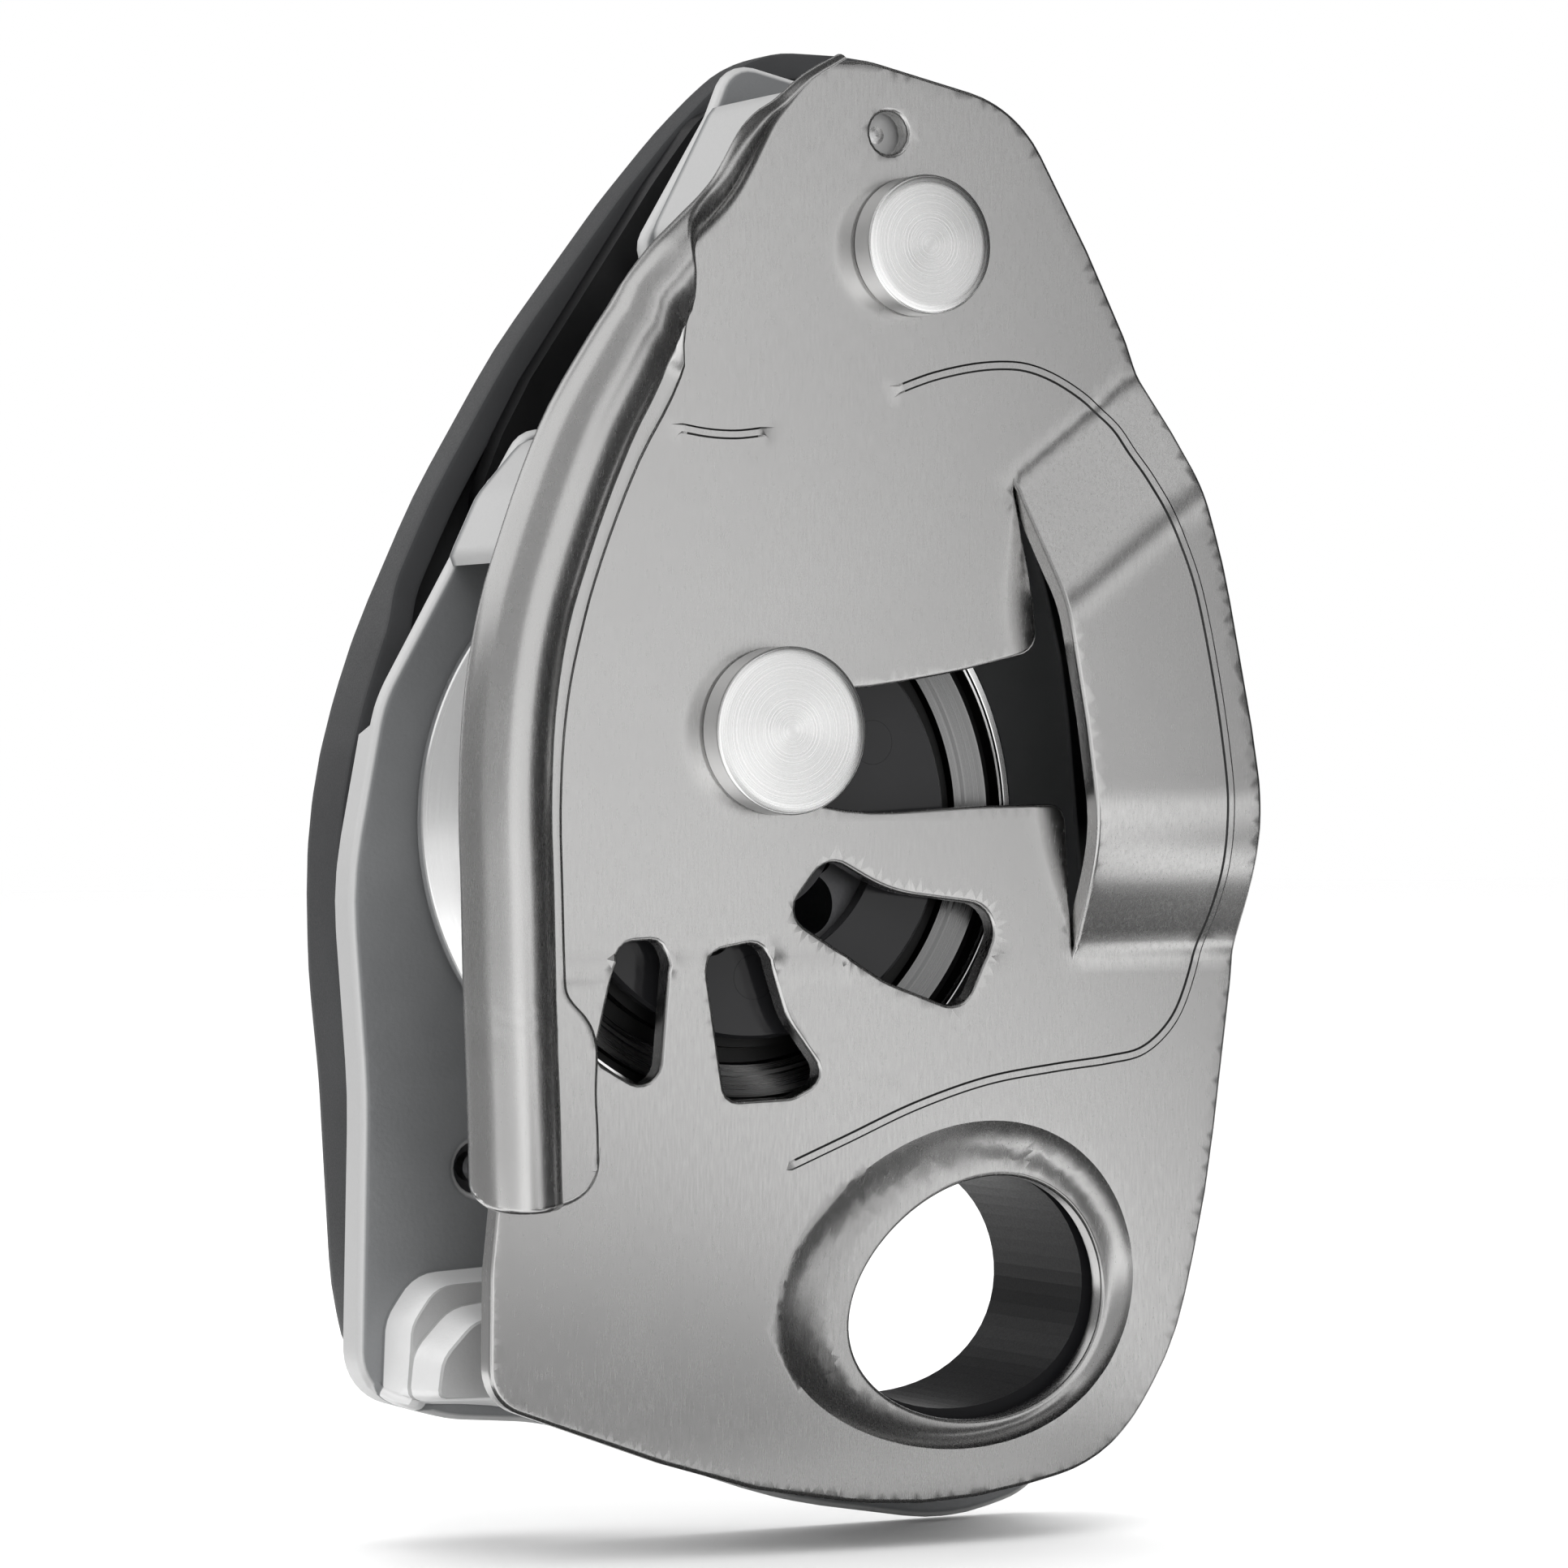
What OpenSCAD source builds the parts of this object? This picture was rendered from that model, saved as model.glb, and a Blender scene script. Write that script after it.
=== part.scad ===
// Cam-assisted belay device for a single rope.
// X runs to the right, Y from the front plate to the handle, Z up. The drawing is laid out
// from the cam axle; place() then moves it so that the attachment hole is the origin.
// The outer face of the moving side plate is y = 0.

/* [Side plates] */
// Thickness of the moving side plate, which is pressed from sheet
sheet_t = 2.0; // [1.6:0.1:2.6]
// Free width of the rope channel between the two side plates
channel_w = 14.0; // [13:0.5:17]
// Thickness of the fixed side plate's floor
floor_t = 3.6; // [3.2:0.2:5]
// Running gap between the moving side plate and what stands behind it
plate_gap = 0.3; // [0.2:0.1:0.6]
// Height of the raised rim round the rope side of the fixed plate
rim_h = 1.4; // [1:0.2:4]
// Width of that rim
rim_w = 2.2; // [1.6:0.2:4]

// Thickness of the fixed plate's thin margin beside the handle
edge_t = 1.6; // [1.2:0.1:2.4]
// Width of that margin
rebate_w = 3.6; // [2:0.2:5]

/* [Plate pivot] */
// Sideways place of the plate pivot from the cam axle
pivot_x = 13.4; // [11:0.2:15]
// Height of the plate pivot above the cam axle
pivot_z = 41.7; // [40:0.1:43]
// Diameter of the pivot rivet's front head
pivot_head_d = 11.5; // [10:0.1:12.4]
// Diameter of the pivot rivet's shank
pivot_shank_d = 7.0; // [6:0.5:7.5]
// Wall of the flanged bush in the moving plate
bush_wall = 0.8; // [0.6:0.1:1.2]
// Height of both front rivet heads above the moving plate
head_h = 3.0; // [2:0.1:3]

/* [Cam and wheel] */
// Diameter of the cam axle's front head
axle_head_d = 14.3; // [12:0.1:15]
// Diameter of the cam axle's neck, which leaves through the slot
axle_neck_d = 9.6; // [8:0.1:9.8]
// Diameter of the cam axle where the cam turns on it
axle_d = 9.0; // [8:0.1:9]
// Distance of the wheel's centre below the cam axle
wheel_drop = 7.6; // [6.5:0.1:8]
// Diameter of the wheel's front flange
wheel_front_d = 51.2; // [49:0.2:52]
// Diameter of the wheel's rear flange
wheel_rear_d = 53.2; // [51:0.2:53.6]
// Diameter at the bottom of the wheel's rope groove
groove_d = 41.0; // [40.6:0.2:43]
// Diameter of the cam's round journal inside the wheel
journal_d = 33.2; // [32:0.2:33.6]
// Diameter of the cover disc on the cam
cover_d = 37.4; // [37:0.2:38]
// Turn of the cam from rest to the pinched rope, degrees
cam_travel = 28; // [15:1:28]

/* [Slot and bridge] */
// Width of the curved slot that lets the axle's neck out
slot_w = 10.4; // [10.2:0.1:11.2]
// Height of the bridge's outer face above the plate
bridge_h = 5.4; // [5.4:0.1:7]

/* [Rope guide] */
// Outer radius of the rolled edge
roll_r = 4.0; // [3.2:0.1:4.6]
// Least width of the flange that the rolled edge ends in
flange_w = 1.6; // [1:0.1:3]

/* [Attachment hole] */
// Length of the attachment hole, along its long side
eye_l = 24.4; // [22:0.2:25]
// Width of the attachment hole
eye_w = 19.6; // [18:0.2:20.4]
// Depth of the pressed dish round the attachment hole
dish_depth = 1.6; // [1:0.1:2.0]
// Wall of the sleeve that lines the attachment hole
liner_wall = 1.6; // [1.2:0.1:2]

/* [Handle] */
// Depth of the handle's grip, from its open edge to its back
grip_depth = 9.6; // [9:0.2:13]
// Wall of the grip
grip_wall = 2.4; // [1.8:0.2:3]
// Thickness of each of the lever's two steel plates
lever_t = 1.2; // [0.8:0.1:1.6]
// Turn of the lever that pulls the cam back, degrees
lever_travel = 60; // [30:5:60]

/* [Hidden] */

$fn = 72;
eps = 0.01;
fit = 0.02;              // radial clearance of a pressed or riveted pair
run = 0.05;              // radial clearance of a running fit
lift = 0.15;             // gap under a head that must not pinch the plate
eye = [20.6, -49.2];     // attachment hole's centre, from the cam axle

back_y = sheet_t + channel_w;             // rope side of the fixed plate's floor
rear_y = back_y + floor_t;                // outer side of the fixed plate's floor
clear_y = sheet_t + plate_gap;            // nearest that fixed things come to the moving plate
lever_y = rear_y + 0.7;                   // front of the lever
lever_end_y = lever_y + 2 * lever_t;
grip_y = rear_y + 1.0;                    // open edge of the grip
grip_end_y = grip_y + grip_depth;
pivot = [pivot_x, pivot_z];
slot_r = norm(pivot);                     // the slot is centred on the plate pivot
wheel_c = [-0.5, -wheel_drop];
wheel_pinched = [
    wheel_c[0] * cos(cam_travel) + wheel_c[1] * sin(cam_travel),
    wheel_c[1] * cos(cam_travel) - wheel_c[0] * sin(cam_travel)
];
pinch_r = wheel_rear_d / 2 + 0.8;         // friction surface, about the pinched wheel's centre
friction_t = 1.6;
drive_r = 12;                             // drive pin's distance from the axle
drive_d = 4;
drive_at = -60;                           // drive pin's direction at rest
fold = [11.0, 49.0];                      // fold pin, from the cam axle
fold_d = 6;

// Moving plate's outline beyond the rolled edge: corner x, corner z, fillet radius
free_corners = [
    [6.6, 58.7, 5], [22.6, 54.6, 10], [36.4, 31.2, 60], [43.6, 8.0, 60],
    [46.6, -17.0, 30], [41.6, -47.5, 50], [35.8, -65.0, 18], [18.0, -67.2, 30],
    [-6.0, -63.6, 80], [-26.8, -56.6, 6], [-27.4, -46.0, 10]
];
// Fixed plate's outline, which stands proud of the moving plate at the left and below
base_corners = [
    [2.0, 54.0, 2], [4.0, 59.0, 6], [22.0, 55.0, 10], [35.6, 31.0, 60], [42.6, 8.0, 60],
    [45.0, -17.0, 30], [41.0, -47.0, 50], [37.0, -69.4, 18], [22.0, -70.2, 40],
    [0.0, -66.0, 60], [-18.0, -59.2, 30], [-33.4, -58.0, 8], [-33.6, -10.0, 60],
    [-30.6, 3.0, 8], [-21.6, 15.6, 8], [-16.0, 26.0, 3], [-8.0, 26.6, 5], [-2.0, 33.0, 5],
    [-4.8, 42.6, 2.5]
];
// Top boss, which holds the plates apart at the pivot and closes the rope channel above
boss_corners = [
    [2.2, 54.9, 1.5], [-4.2, 42.8, 2.5], [-0.6, 38.6, 3], [8.0, 33.6, 8], [22.0, 30.4, 12],
    [30.4, 33.0, 3], [27.6, 43.0, 20], [19.8, 55.0, 3]
];
// Shoulder that carries the friction plate
shoulder_corners = [
    [-16.2, 25.2, 3], [-20.6, 20.2, 5], [-23.2, 14.8, 1], [-20.0, 8.0, 1], [-6.0, 16.0, 1],
    [-6.0, 25.6, 4]
];
// Lower guide, in two terraces that rise towards the moving plate
terrace_corners = [
    [-28.8, -56.8, 2], [-28.4, -49.4, 5], [-23.0, -46.0, 8], [-8.0, -45.0, 30], [4.0, -40.5, 10],
    [12.0, -35.0, 10], [24.0, -33.4, 12], [38.6, -36.0, 4], [38.6, -56.0, 14], [31.0, -67.0, 8],
    [20.0, -68.2, 20], [0.0, -64.2, 60], [-18.0, -58.0, 30]
];
terrace_y = [0.72, 0.40];                 // terrace heights, as shares of the channel from its front
terrace_step = 3.4;
// Side wall beyond the wheel
wall_w = 5.2;
// Handle's outline
grip_corners = [
    [7.6, 58.0, 8], [13.4, 62.0, 6], [24.6, 61.8, 8], [29.0, 50.0, 12], [20.0, 26.0, 60], [12.5, 0.0, 80],
    [3.0, -30.0, 60], [-4.0, -52.0, 14], [-14.0, -58.6, 12], [-27.6, -55.4, 9],
    [-31.6, -20.0, 80], [-28.6, 4.0, 60], [-19.0, 24.0, 80], [-6.0, 43.4, 80]
];
// Lever's outline
lever_corners = [
    [4.0, 55.4, 5], [16.6, 55.4, 5.5], [17.6, 43.0, 12], [14.6, 12.0, 40], [16.0, -8.0, 14],
    [8.0, -16.4, 12], [-12.0, -16.4, 12], [-15.0, -2.0, 20], [-18.6, 20.0, 8],
    [-15.0, 28.4, 30], [-1.4, 48.4, 20]
];
// Rope guide's route up the left margin: x, z, direction in which the curled sheet ends (90 is
// flat, 0 is outwards, -90 is forwards, -150 is closed), flange width beyond the least
guide_route = [
    [-25.1, -38.6, -150, 2.2], [-25.2, -35.0, -150, 2.4], [-25.4, -30.0, -150, 2.4],
    [-25.6, -24.4, -150, 1.7], [-25.8, -21.6, -150, 0.2], [-25.9, -14.0, -150, 0.0],
    [-26.1, -6.0, -150, 0.1], [-24.9, 7.2, -150, 0.3], [-22.0, 16.6, -150, 0.4],
    [-18.4, 25.1, -150, 0.1], [-14.9, 30.7, -148, -0.3], [-11.4, 35.9, -134, -0.9],
    [-9.9, 38.0, -92, -1.2], [-8.7, 39.4, -52, -1.2], [-7.2, 41.0, -18, -1.2],
    [-5.5, 42.7, 0, -1.2], [-3.9, 44.6, 8, -1.2], [-2.5, 46.9, 22, -1.2],
    [-1.0, 49.8, 42, -1.2], [0.7, 52.8, 58, -1.2], [3.2, 55.6, 72, -1.2]
];
// Vents and the bridge's cut line
vent_left = [
    [-11.0, -17.6, 2], [-10.2, -19.4, 1.2], [-11.2, -31.0, 2], [-17.2, -27.6, 1.4],
    [-14.8, -17.8, 1.6]
];
vent_mid = [
    [-6.8, -18.8, 1.6], [-1.2, -17.8, 1.8], [1.0, -24.4, 6], [5.0, -29.6, 1.6],
    [1.6, -31.2, 1.6], [-4.8, -31.4, 1.4]
];
vent_right = [
    [1.0, -15.6, 1.8], [5.0, -10.6, 2.2], [11.0, -13.8, 14], [22.6, -15.2, 2.6],
    [18.4, -24.2, 2.4], [10.6, -21.4, 10]
];
cut_line = [[23.1, 21.6], [25.4, 11.6], [27.4, 1.0], [28.7, -8.0], [29.4, -19.2]];
crease_top = [cut_line[0], [37.0, 32.2]];        // where the upper ramp leaves the plate
crease_bottom = [cut_line[4], [47.0, -18.9]];    // where the lower ramp comes back to it
ramp_run_top = 10.0;
ramp_run_bottom = 9.8;

function unit(v) = v / norm(v);
function xy(p) = [p[0], p[1]];
// Arc that rounds the corner b between a and c
function fillet(a, b, c, r) =
    let (u = unit(a - b), v = unit(c - b), half = acos(max(-1, min(1, u * v))) / 2)
    let (reach = min(r / tan(half), 0.48 * norm(a - b), 0.48 * norm(c - b)))
    let (rr = reach * tan(half), m = b + unit(u + v) * rr / sin(half))
    let (p = b + u * reach - m, q = b + v * reach - m)
    let (start = atan2(p[1], p[0]), sweep = atan2(p[0] * q[1] - p[1] * q[0], p * q))
    let (n = max(1, ceil(abs(sweep) / 14)))
    [for (i = [0:n]) m + rr * [cos(start + sweep * i / n), sin(start + sweep * i / n)]];
// Closed outline with every corner rounded
function rounded(c) = [
    for (i = [0:len(c) - 1])
        each fillet(xy(c[(i + len(c) - 1) % len(c)]), xy(c[i]), xy(c[(i + 1) % len(c)]), c[i][2])
];
function area2(p) = [for (i = [0:len(p) - 1])
    p[i][0] * p[(i + 1) % len(p)][1] - p[i][1] * p[(i + 1) % len(p)][0]];
function total(v, i = 0) = i == len(v) ? 0 : v[i] + total(v, i + 1);
function side(p) = total(area2(p)) > 0 ? 1 : -1;
// Outline moved inwards by d
function inset(p, d) = let (s = side(p), n = len(p)) [
    for (i = [0:n - 1])
        let (a = unit(p[(i + 1) % n] - p[i]), b = unit(p[i] - p[(i + n - 1) % n]))
        let (m = unit(a + b))
        p[i] + s * d * [-m[1], m[0]] / max(0.4, m * a)
];
// Smooth curve through a list of points of any length, k steps for each stretch
function smooth(p, k) = [
    for (i = [0:len(p) - 2]) for (j = [0:k - 1])
        let (t = j / k, a = p[max(0, i - 1)], b = p[i], c = p[i + 1], d = p[min(len(p) - 1, i + 2)])
        0.5 * (2 * b + (c - a) * t + (2 * a - 5 * b + 4 * c - d) * t * t
            + (3 * b - a - 3 * c + d) * t * t * t),
    p[len(p) - 1]
];
function polar(r, a, c = [0, 0]) = c + r * [cos(a), sin(a)];
function arc(r, a, b, n, c = [0, 0]) = [for (i = [0:n]) polar(r, a + (b - a) * i / n, c)];

module place() translate([-eye[0], 0, -eye[1]]) children();
// Flat shape in the X-Z plane, made into a slab from y0 to y1
module slab(y0, y1) translate([0, y1, 0]) rotate([90, 0, 0]) linear_extrude(y1 - y0) children();
module rod(c, d, y0, y1) translate([c[0], y1, c[1]]) rotate([90, 0, 0]) cylinder(h = y1 - y0, d = d);
// Turned piece about an axis along Y: profile points are radius, y
module turned(c, profile) translate([c[0], 0, c[1]]) rotate([-90, 0, 0]) rotate_extrude() polygon(profile);
// Band of an arc with round ends, for slots
module arc_slot(c, r, w, a, b) {
    polygon(concat(arc(r + w / 2, a, b, 24, c), arc(r - w / 2, b, a, 24, c)));
    for (e = [a, b]) translate(polar(r, e, c)) circle(d = w);
}
// Solid through a stack of rings with equal numbers of points, closed by the triangles in cap
module skin(rings, cap = undef) {
    n = len(rings[0]);
    m = len(rings);
    end = is_undef(cap) ? [[for (i = [0:n - 1]) i]] : cap;
    polyhedron(
        points = [for (ring = rings) each ring],
        faces = concat(
            end,
            [for (k = [0:m - 2]) for (i = [0:n - 1])
                each [[k * n + i, (k + 1) * n + i, k * n + (i + 1) % n],
                      [k * n + (i + 1) % n, (k + 1) * n + i, (k + 1) * n + (i + 1) % n]]],
            [for (f = end) [for (i = [len(f) - 1:-1:0]) (m - 1) * n + f[i]]]
        ),
        convexity = 8
    );
}
// Egg outline of the attachment hole, grown outwards by d
function egg(d) = let (a = eye_l / 2 + d, b = eye_w / 2 + d) [
    for (i = [0:59]) let (t = i * 6)
        let (p = [a * cos(t), b * sin(t) * (1 + 0.16 * cos(t))], turn = 24)
        eye + [p[0] * cos(turn) - p[1] * sin(turn), p[0] * sin(turn) + p[1] * cos(turn)]
];
// Corner list moved inwards by d, with its fillets kept parallel
function shrunk(c, d) = let (p = [for (q = c) xy(q)], s = side(p), n = len(p), m = inset(p, d)) [
    for (i = [0:n - 1])
        let (a = p[i] - p[(i + n - 1) % n], b = p[(i + 1) % n] - p[i])
        let (convex = s * (a[0] * b[1] - a[1] * b[0]) > 0)
        [m[i][0], m[i][1], max(0.4, c[i][2] + (convex ? -d : d))]
];
// Moving plate's outline: the free corners, and the route of the rolled edge along the left
plate_corners = concat(free_corners, [
    for (i = [1:len(guide_route) - 2])
        let (a = xy(guide_route[max(0, i - 1)]), b = xy(guide_route[min(len(guide_route) - 1, i + 1)]))
        let (d = unit(b - a), p = xy(guide_route[i]) - 0.3 * [-d[1], d[0]])
        [p[0], p[1], 60]
]);
dish_w = 8.6;                             // the dish's reach beyond the attachment hole
function ring_at(p, y) = [for (q = p) [q[0], y, q[1]]];

// Fixed side plate: forged floor, boss, shoulder, terraces, rim and the wall beyond the wheel
module fixed_plate() {
    base = rounded(base_corners);
    color("darkgray") difference() {
        union() {
            slab(back_y, rear_y) polygon(base);
            slab(clear_y, back_y + eps) polygon(rounded(boss_corners));
            slab(clear_y + 1, back_y + eps) difference() {
                polygon(rounded(shoulder_corners));
                translate(wheel_pinched) circle(r = pinch_r + friction_t);
            }
            slab(back_y - rim_h, back_y + eps) rim_shape();
            slab(clear_y + 0.2, back_y + eps) wall_shape();
            slab(sheet_t + terrace_y[0] * channel_w, back_y + eps) polygon(rounded(terrace_corners));
            slab(sheet_t + terrace_y[1] * channel_w, back_y + eps)
                polygon(rounded(shrunk(terrace_corners, terrace_step)));
        }
        slab(0, rear_y + 1) polygon(egg(liner_wall + fit));
        slab(0, sheet_t + dish_depth + plate_gap) polygon(egg(dish_w + 0.8));
        rod([0, 0], axle_d + 2 * fit, 0, rear_y + 1);
        rod([0, 0], wheel_drop * 2 + journal_d + 3.4, back_y - eps, back_y + 1.2);
        rod(pivot, pivot_shank_d + 2 * fit, 0, rear_y + 1);
        rod(pivot, pivot_shank_d + 4, rear_y - 1.2, rear_y + 1);
        rod(detent_at, detent_d + 2 * fit, 0, clear_y + 4);
        rod(anchor_at, 4.6, back_y - 1, rear_y + 1);
        slab(back_y + edge_t, rear_y + 1) rebate_shape();
        slab(0, rear_y + 1) arc_slot([0, 0], drive_r, drive_d + 0.6, drive_at - cam_travel - 2, drive_at + 2);
        for (p = friction_rivet_at) rod(p, 2.4 + 2 * fit, 0, back_y + 1.5);
    }
}
detent_at = [11.0, 51.4];
detent_d = 3.4;
anchor_at = [-20.2, -37.4];
friction_rivet_at = [for (a = [103, 117]) polar(pinch_r + friction_t + 1.7, a, wheel_pinched)];

// Rebate behind the upper left edge, where the handle's wall closes round the thin margin
module rebate_shape() intersection() {
    difference() {
        polygon(rounded(shrunk(base_corners, -3)));
        polygon(rounded(shrunk(base_corners, rebate_w)));
    }
    translate([-50, 0.4]) square([62, 80]);
}
// Rim along the left side, from below the shoulder to the terraces
module rim_shape() intersection() {
    difference() {
        polygon(rounded(base_corners));
        polygon(rounded(shrunk(base_corners, rim_w)));
        translate(wheel_pinched) circle(r = wheel_rear_d / 2 + 0.6);
        translate(wheel_c) circle(r = wheel_rear_d / 2 + 0.6);
    }
    translate([-40, -54]) square([26, 66]);
}
// Wall beyond the wheel, from the boss down to the terraces
module wall_shape() intersection() {
    difference() {
        polygon(rounded(shrunk(base_corners, 0.4)));
        polygon(rounded(shrunk(base_corners, wall_w)));
    }
    translate([26, -50]) square([30, 90]);
}

// Rivet on which the moving plate swings
module plate_pivot_rivet() {
    r = pivot_shank_d / 2;
    h = pivot_head_d / 2;
    color("silver") turned(pivot, [
        [0, -head_h], [h - 0.5, -head_h], [h, 0.5 - head_h], [h, -lift], [r, -lift],
        [r, rear_y - 1.2], [r + 1.9, rear_y - 1.2], [r + 1.9, rear_y - 0.1], [0, rear_y - 0.1]
    ]);
}
// Thrust washer between the boss and the moving plate
module plate_pivot_washer() color("silver") difference() {
    rod(pivot, pivot_head_d, sheet_t + 0.04, clear_y);
    rod(pivot, pivot_shank_d + 2 * run, 0, clear_y + 1);
}
// Domed pin that shows through the small hole at the top of the moving plate
module plate_detent_pin() color("silver") turned(detent_at, concat(
    [[0, clear_y + 4 - fit], [detent_d / 2, clear_y + 4 - fit], [detent_d / 2, clear_y + 0.9]],
    [for (i = [1:6]) [detent_d / 2 * cos(i * 15), clear_y + 0.9 - 0.9 * sin(i * 15)]]
));
// Axle of the cam, with the wide front head that passes under the bridge
module cam_axle() {
    h = axle_head_d / 2;
    n = axle_neck_d / 2;
    r = axle_d / 2;
    color("silver") turned([0, 0], [
        [0, -head_h], [h - 0.6, -head_h], [h, 0.6 - head_h], [h, -lift], [n, -lift],
        [n, clear_y + 0.5], [r, clear_y + 0.5], [r, lever_end_y + 1.9], [0, lever_end_y + 1.9]
    ]);
}
// Rear head that keeps the lever on the axle
module axle_rear_head() color("silver") difference() {
    turned([0, 0], [
        [axle_d / 2 + fit, lever_end_y + 0.2], [7.2, lever_end_y + 0.2], [7.2, lever_end_y + 1.5],
        [6.6, lever_end_y + 2.1], [axle_d / 2 + fit, lever_end_y + 2.1]
    ]);
}
// Stainless wear plate that the rope is pinched against
module friction_plate() color("lightgray") difference() {
    slab(clear_y + 1.4, back_y - 0.3) polygon(concat(
        arc(pinch_r, friction_span[0], friction_span[1], 16, wheel_pinched),
        arc(pinch_r + friction_t - fit, friction_span[1], friction_span[0], 16, wheel_pinched)
    ));
}
friction_span = [98, 127];
// Two rivets that hold the shoulder's wear plate and its block to the floor
module friction_plate_rivets() color("silver") for (p = friction_rivet_at)
    rod(p, 2.4, clear_y + 1, back_y + 1.4);
// Sleeve that lines the attachment hole
module attachment_liner() color("dimgray") slab(sheet_t + dish_depth + 0.5, rear_y) difference() {
    polygon(egg(liner_wall));
    polygon(egg(0));
}
// Pin in the round hole at the lower left, which holds the return spring's outer end
module spring_anchor_pin() color("silver") turned(anchor_at, [
    [0, back_y + 0.6], [1.0, back_y + 0.6], [1.3, back_y + 0.9], [1.3, rear_y - 1.2],
    [2.3 - fit, rear_y - 1.2], [2.3 - fit, rear_y], [0, rear_y]
]);

// Torsion spring round the axle, inside the cam's journal
spring_wire = 0.9;
spring_r = 6.75;
spring_turns = 5;
spring_pitch = 1.35;
module cam_return_spring() {
    y0 = clear_y + 4.2;
    steps = 12;
    echo(str("least gap between the spring's turns: ", spring_pitch - spring_wire, " mm"));
    color("gray") skin([
        for (i = [0:spring_turns * steps])
            let (a = i * 360 / steps, c = [spring_r * cos(a), y0 + spring_pitch * i / steps, spring_r * sin(a)])
            [for (j = [0:5]) let (b = j * 60)
                c + spring_wire / 2 * [cos(b) * cos(a), sin(b), cos(b) * sin(a)]]
    ]);
}

// Cross-section of the curled sheet: s is the distance outwards, y the depth, e the direction
// in which the sheet ends; where it is closed, its edge comes to lie on the plate as a flange
hem_n = 12;
function hem(r, w, t, e) =
    let (c = [0, t - r], ri = max(r - t, 0.2 * r), k = max(0, min(1, (-e - 90) / 60)), m = hem_n - 1)
    let (tip = [
        [-1.05 * r, -0.98 * t], [-1.05 * r - w, -0.98 * t], [-1.05 * r - w, -0.35],
        polar(ri, e - 82, c), polar(ri, e - 41, c)
    ])
    concat(
        [[0, 0.99 * t]],
        [for (i = [1:m]) polar(r, 90 + (e - 90) * i / m, c)],
        [for (j = [0:4]) k * tip[j]
            + (1 - k) * polar(r - (r - ri) * (j + 1) / 6, e - 4 * sin(30 * (j + 1)), c)],
        [for (i = [m:-1:1]) polar(ri, 90 + (e - 90) * i / m, c)],
        [[0, 0.01 * t], [-0.6, 0.1 * t], [-0.6, 0.9 * t]]
    );
// Triangles across one end of the curled sheet
hem_cap = let (m = hem_n) concat(
    [for (i = [0:m - 2]) each [[i, i + 1, 2 * m + 3 - i], [i, 2 * m + 3 - i, 2 * m + 4 - i]]],
    [[m - 1, m, m + 5], [m, m + 4, m + 5], [m, m + 3, m + 4], [m, m + 2, m + 3], [m, m + 1, m + 2]],
    [[0, 2 * m + 4, 2 * m + 5], [0, 2 * m + 5, 2 * m + 6]]
);
// Guide curled from the moving plate's left margin, open at its upper end
module rope_guide() {
    route = smooth(guide_route, 2);
    n = len(route);
    skin([
        for (i = [0:n - 1])
            let (a = xy(route[max(0, i - 1)]), b = xy(route[min(n - 1, i + 1)]), d = unit(b - a))
            let (out = [-d[1], d[0]], p = route[i])
            [for (q = hem(roll_r, flange_w + p[3], sheet_t, p[2]))
                [p[0] + out[0] * q[0], q[1], p[1] + out[1] * q[0]]]
    ], hem_cap);
}
// Ramp between the plate and the bridge: a sheet that climbs from a crease
module ramp(crease, run_l, dir) {
    v = unit(crease[1] - crease[0]);
    a = atan2(v[1], v[0]);
    translate([crease[0][0], 0, crease[0][1]]) rotate([0, -a, 0]) translate([-3, 0, 0])
        rotate([90, 0, 90]) linear_extrude(30) polygon([
            [0, -dir * 1.0], [0, 0], [-bridge_h, dir * run_l],
            [sheet_t / 2 - bridge_h, dir * (run_l + 0.4)], [sheet_t - bridge_h, dir * run_l],
            [sheet_t - bridge_h, dir * (run_l - 0.4)],
            [sheet_t, -dir * 0.4], [sheet_t, -dir * 1.0]
        ]);
}
module bridge() {
    vt = unit(crease_top[1] - crease_top[0]);
    vb = unit(crease_bottom[1] - crease_bottom[0]);
    nt = [vt[1], -vt[0]] * ramp_run_top;
    nb = [-vb[1], vb[0]] * ramp_run_bottom;
    intersection() {
        union() {
            ramp(crease_top, ramp_run_top, -1);
            ramp(crease_bottom, ramp_run_bottom, 1);
            slab(-bridge_h, sheet_t - bridge_h) polygon([
                crease_top[0] + nt - vt * 10, crease_top[1] + nt + vt * 10,
                crease_bottom[1] + nb + vb * 10, crease_bottom[0] + nb - vb * 10
            ]);
        }
        slab(-bridge_h - 1, sheet_t + 1) intersection() {
            polygon(rounded(plate_corners));
            polygon(concat([[20, 36]], cut_line, [[29.5, -21], [60, -21], [60, 36]]));
        }
    }
}
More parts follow.
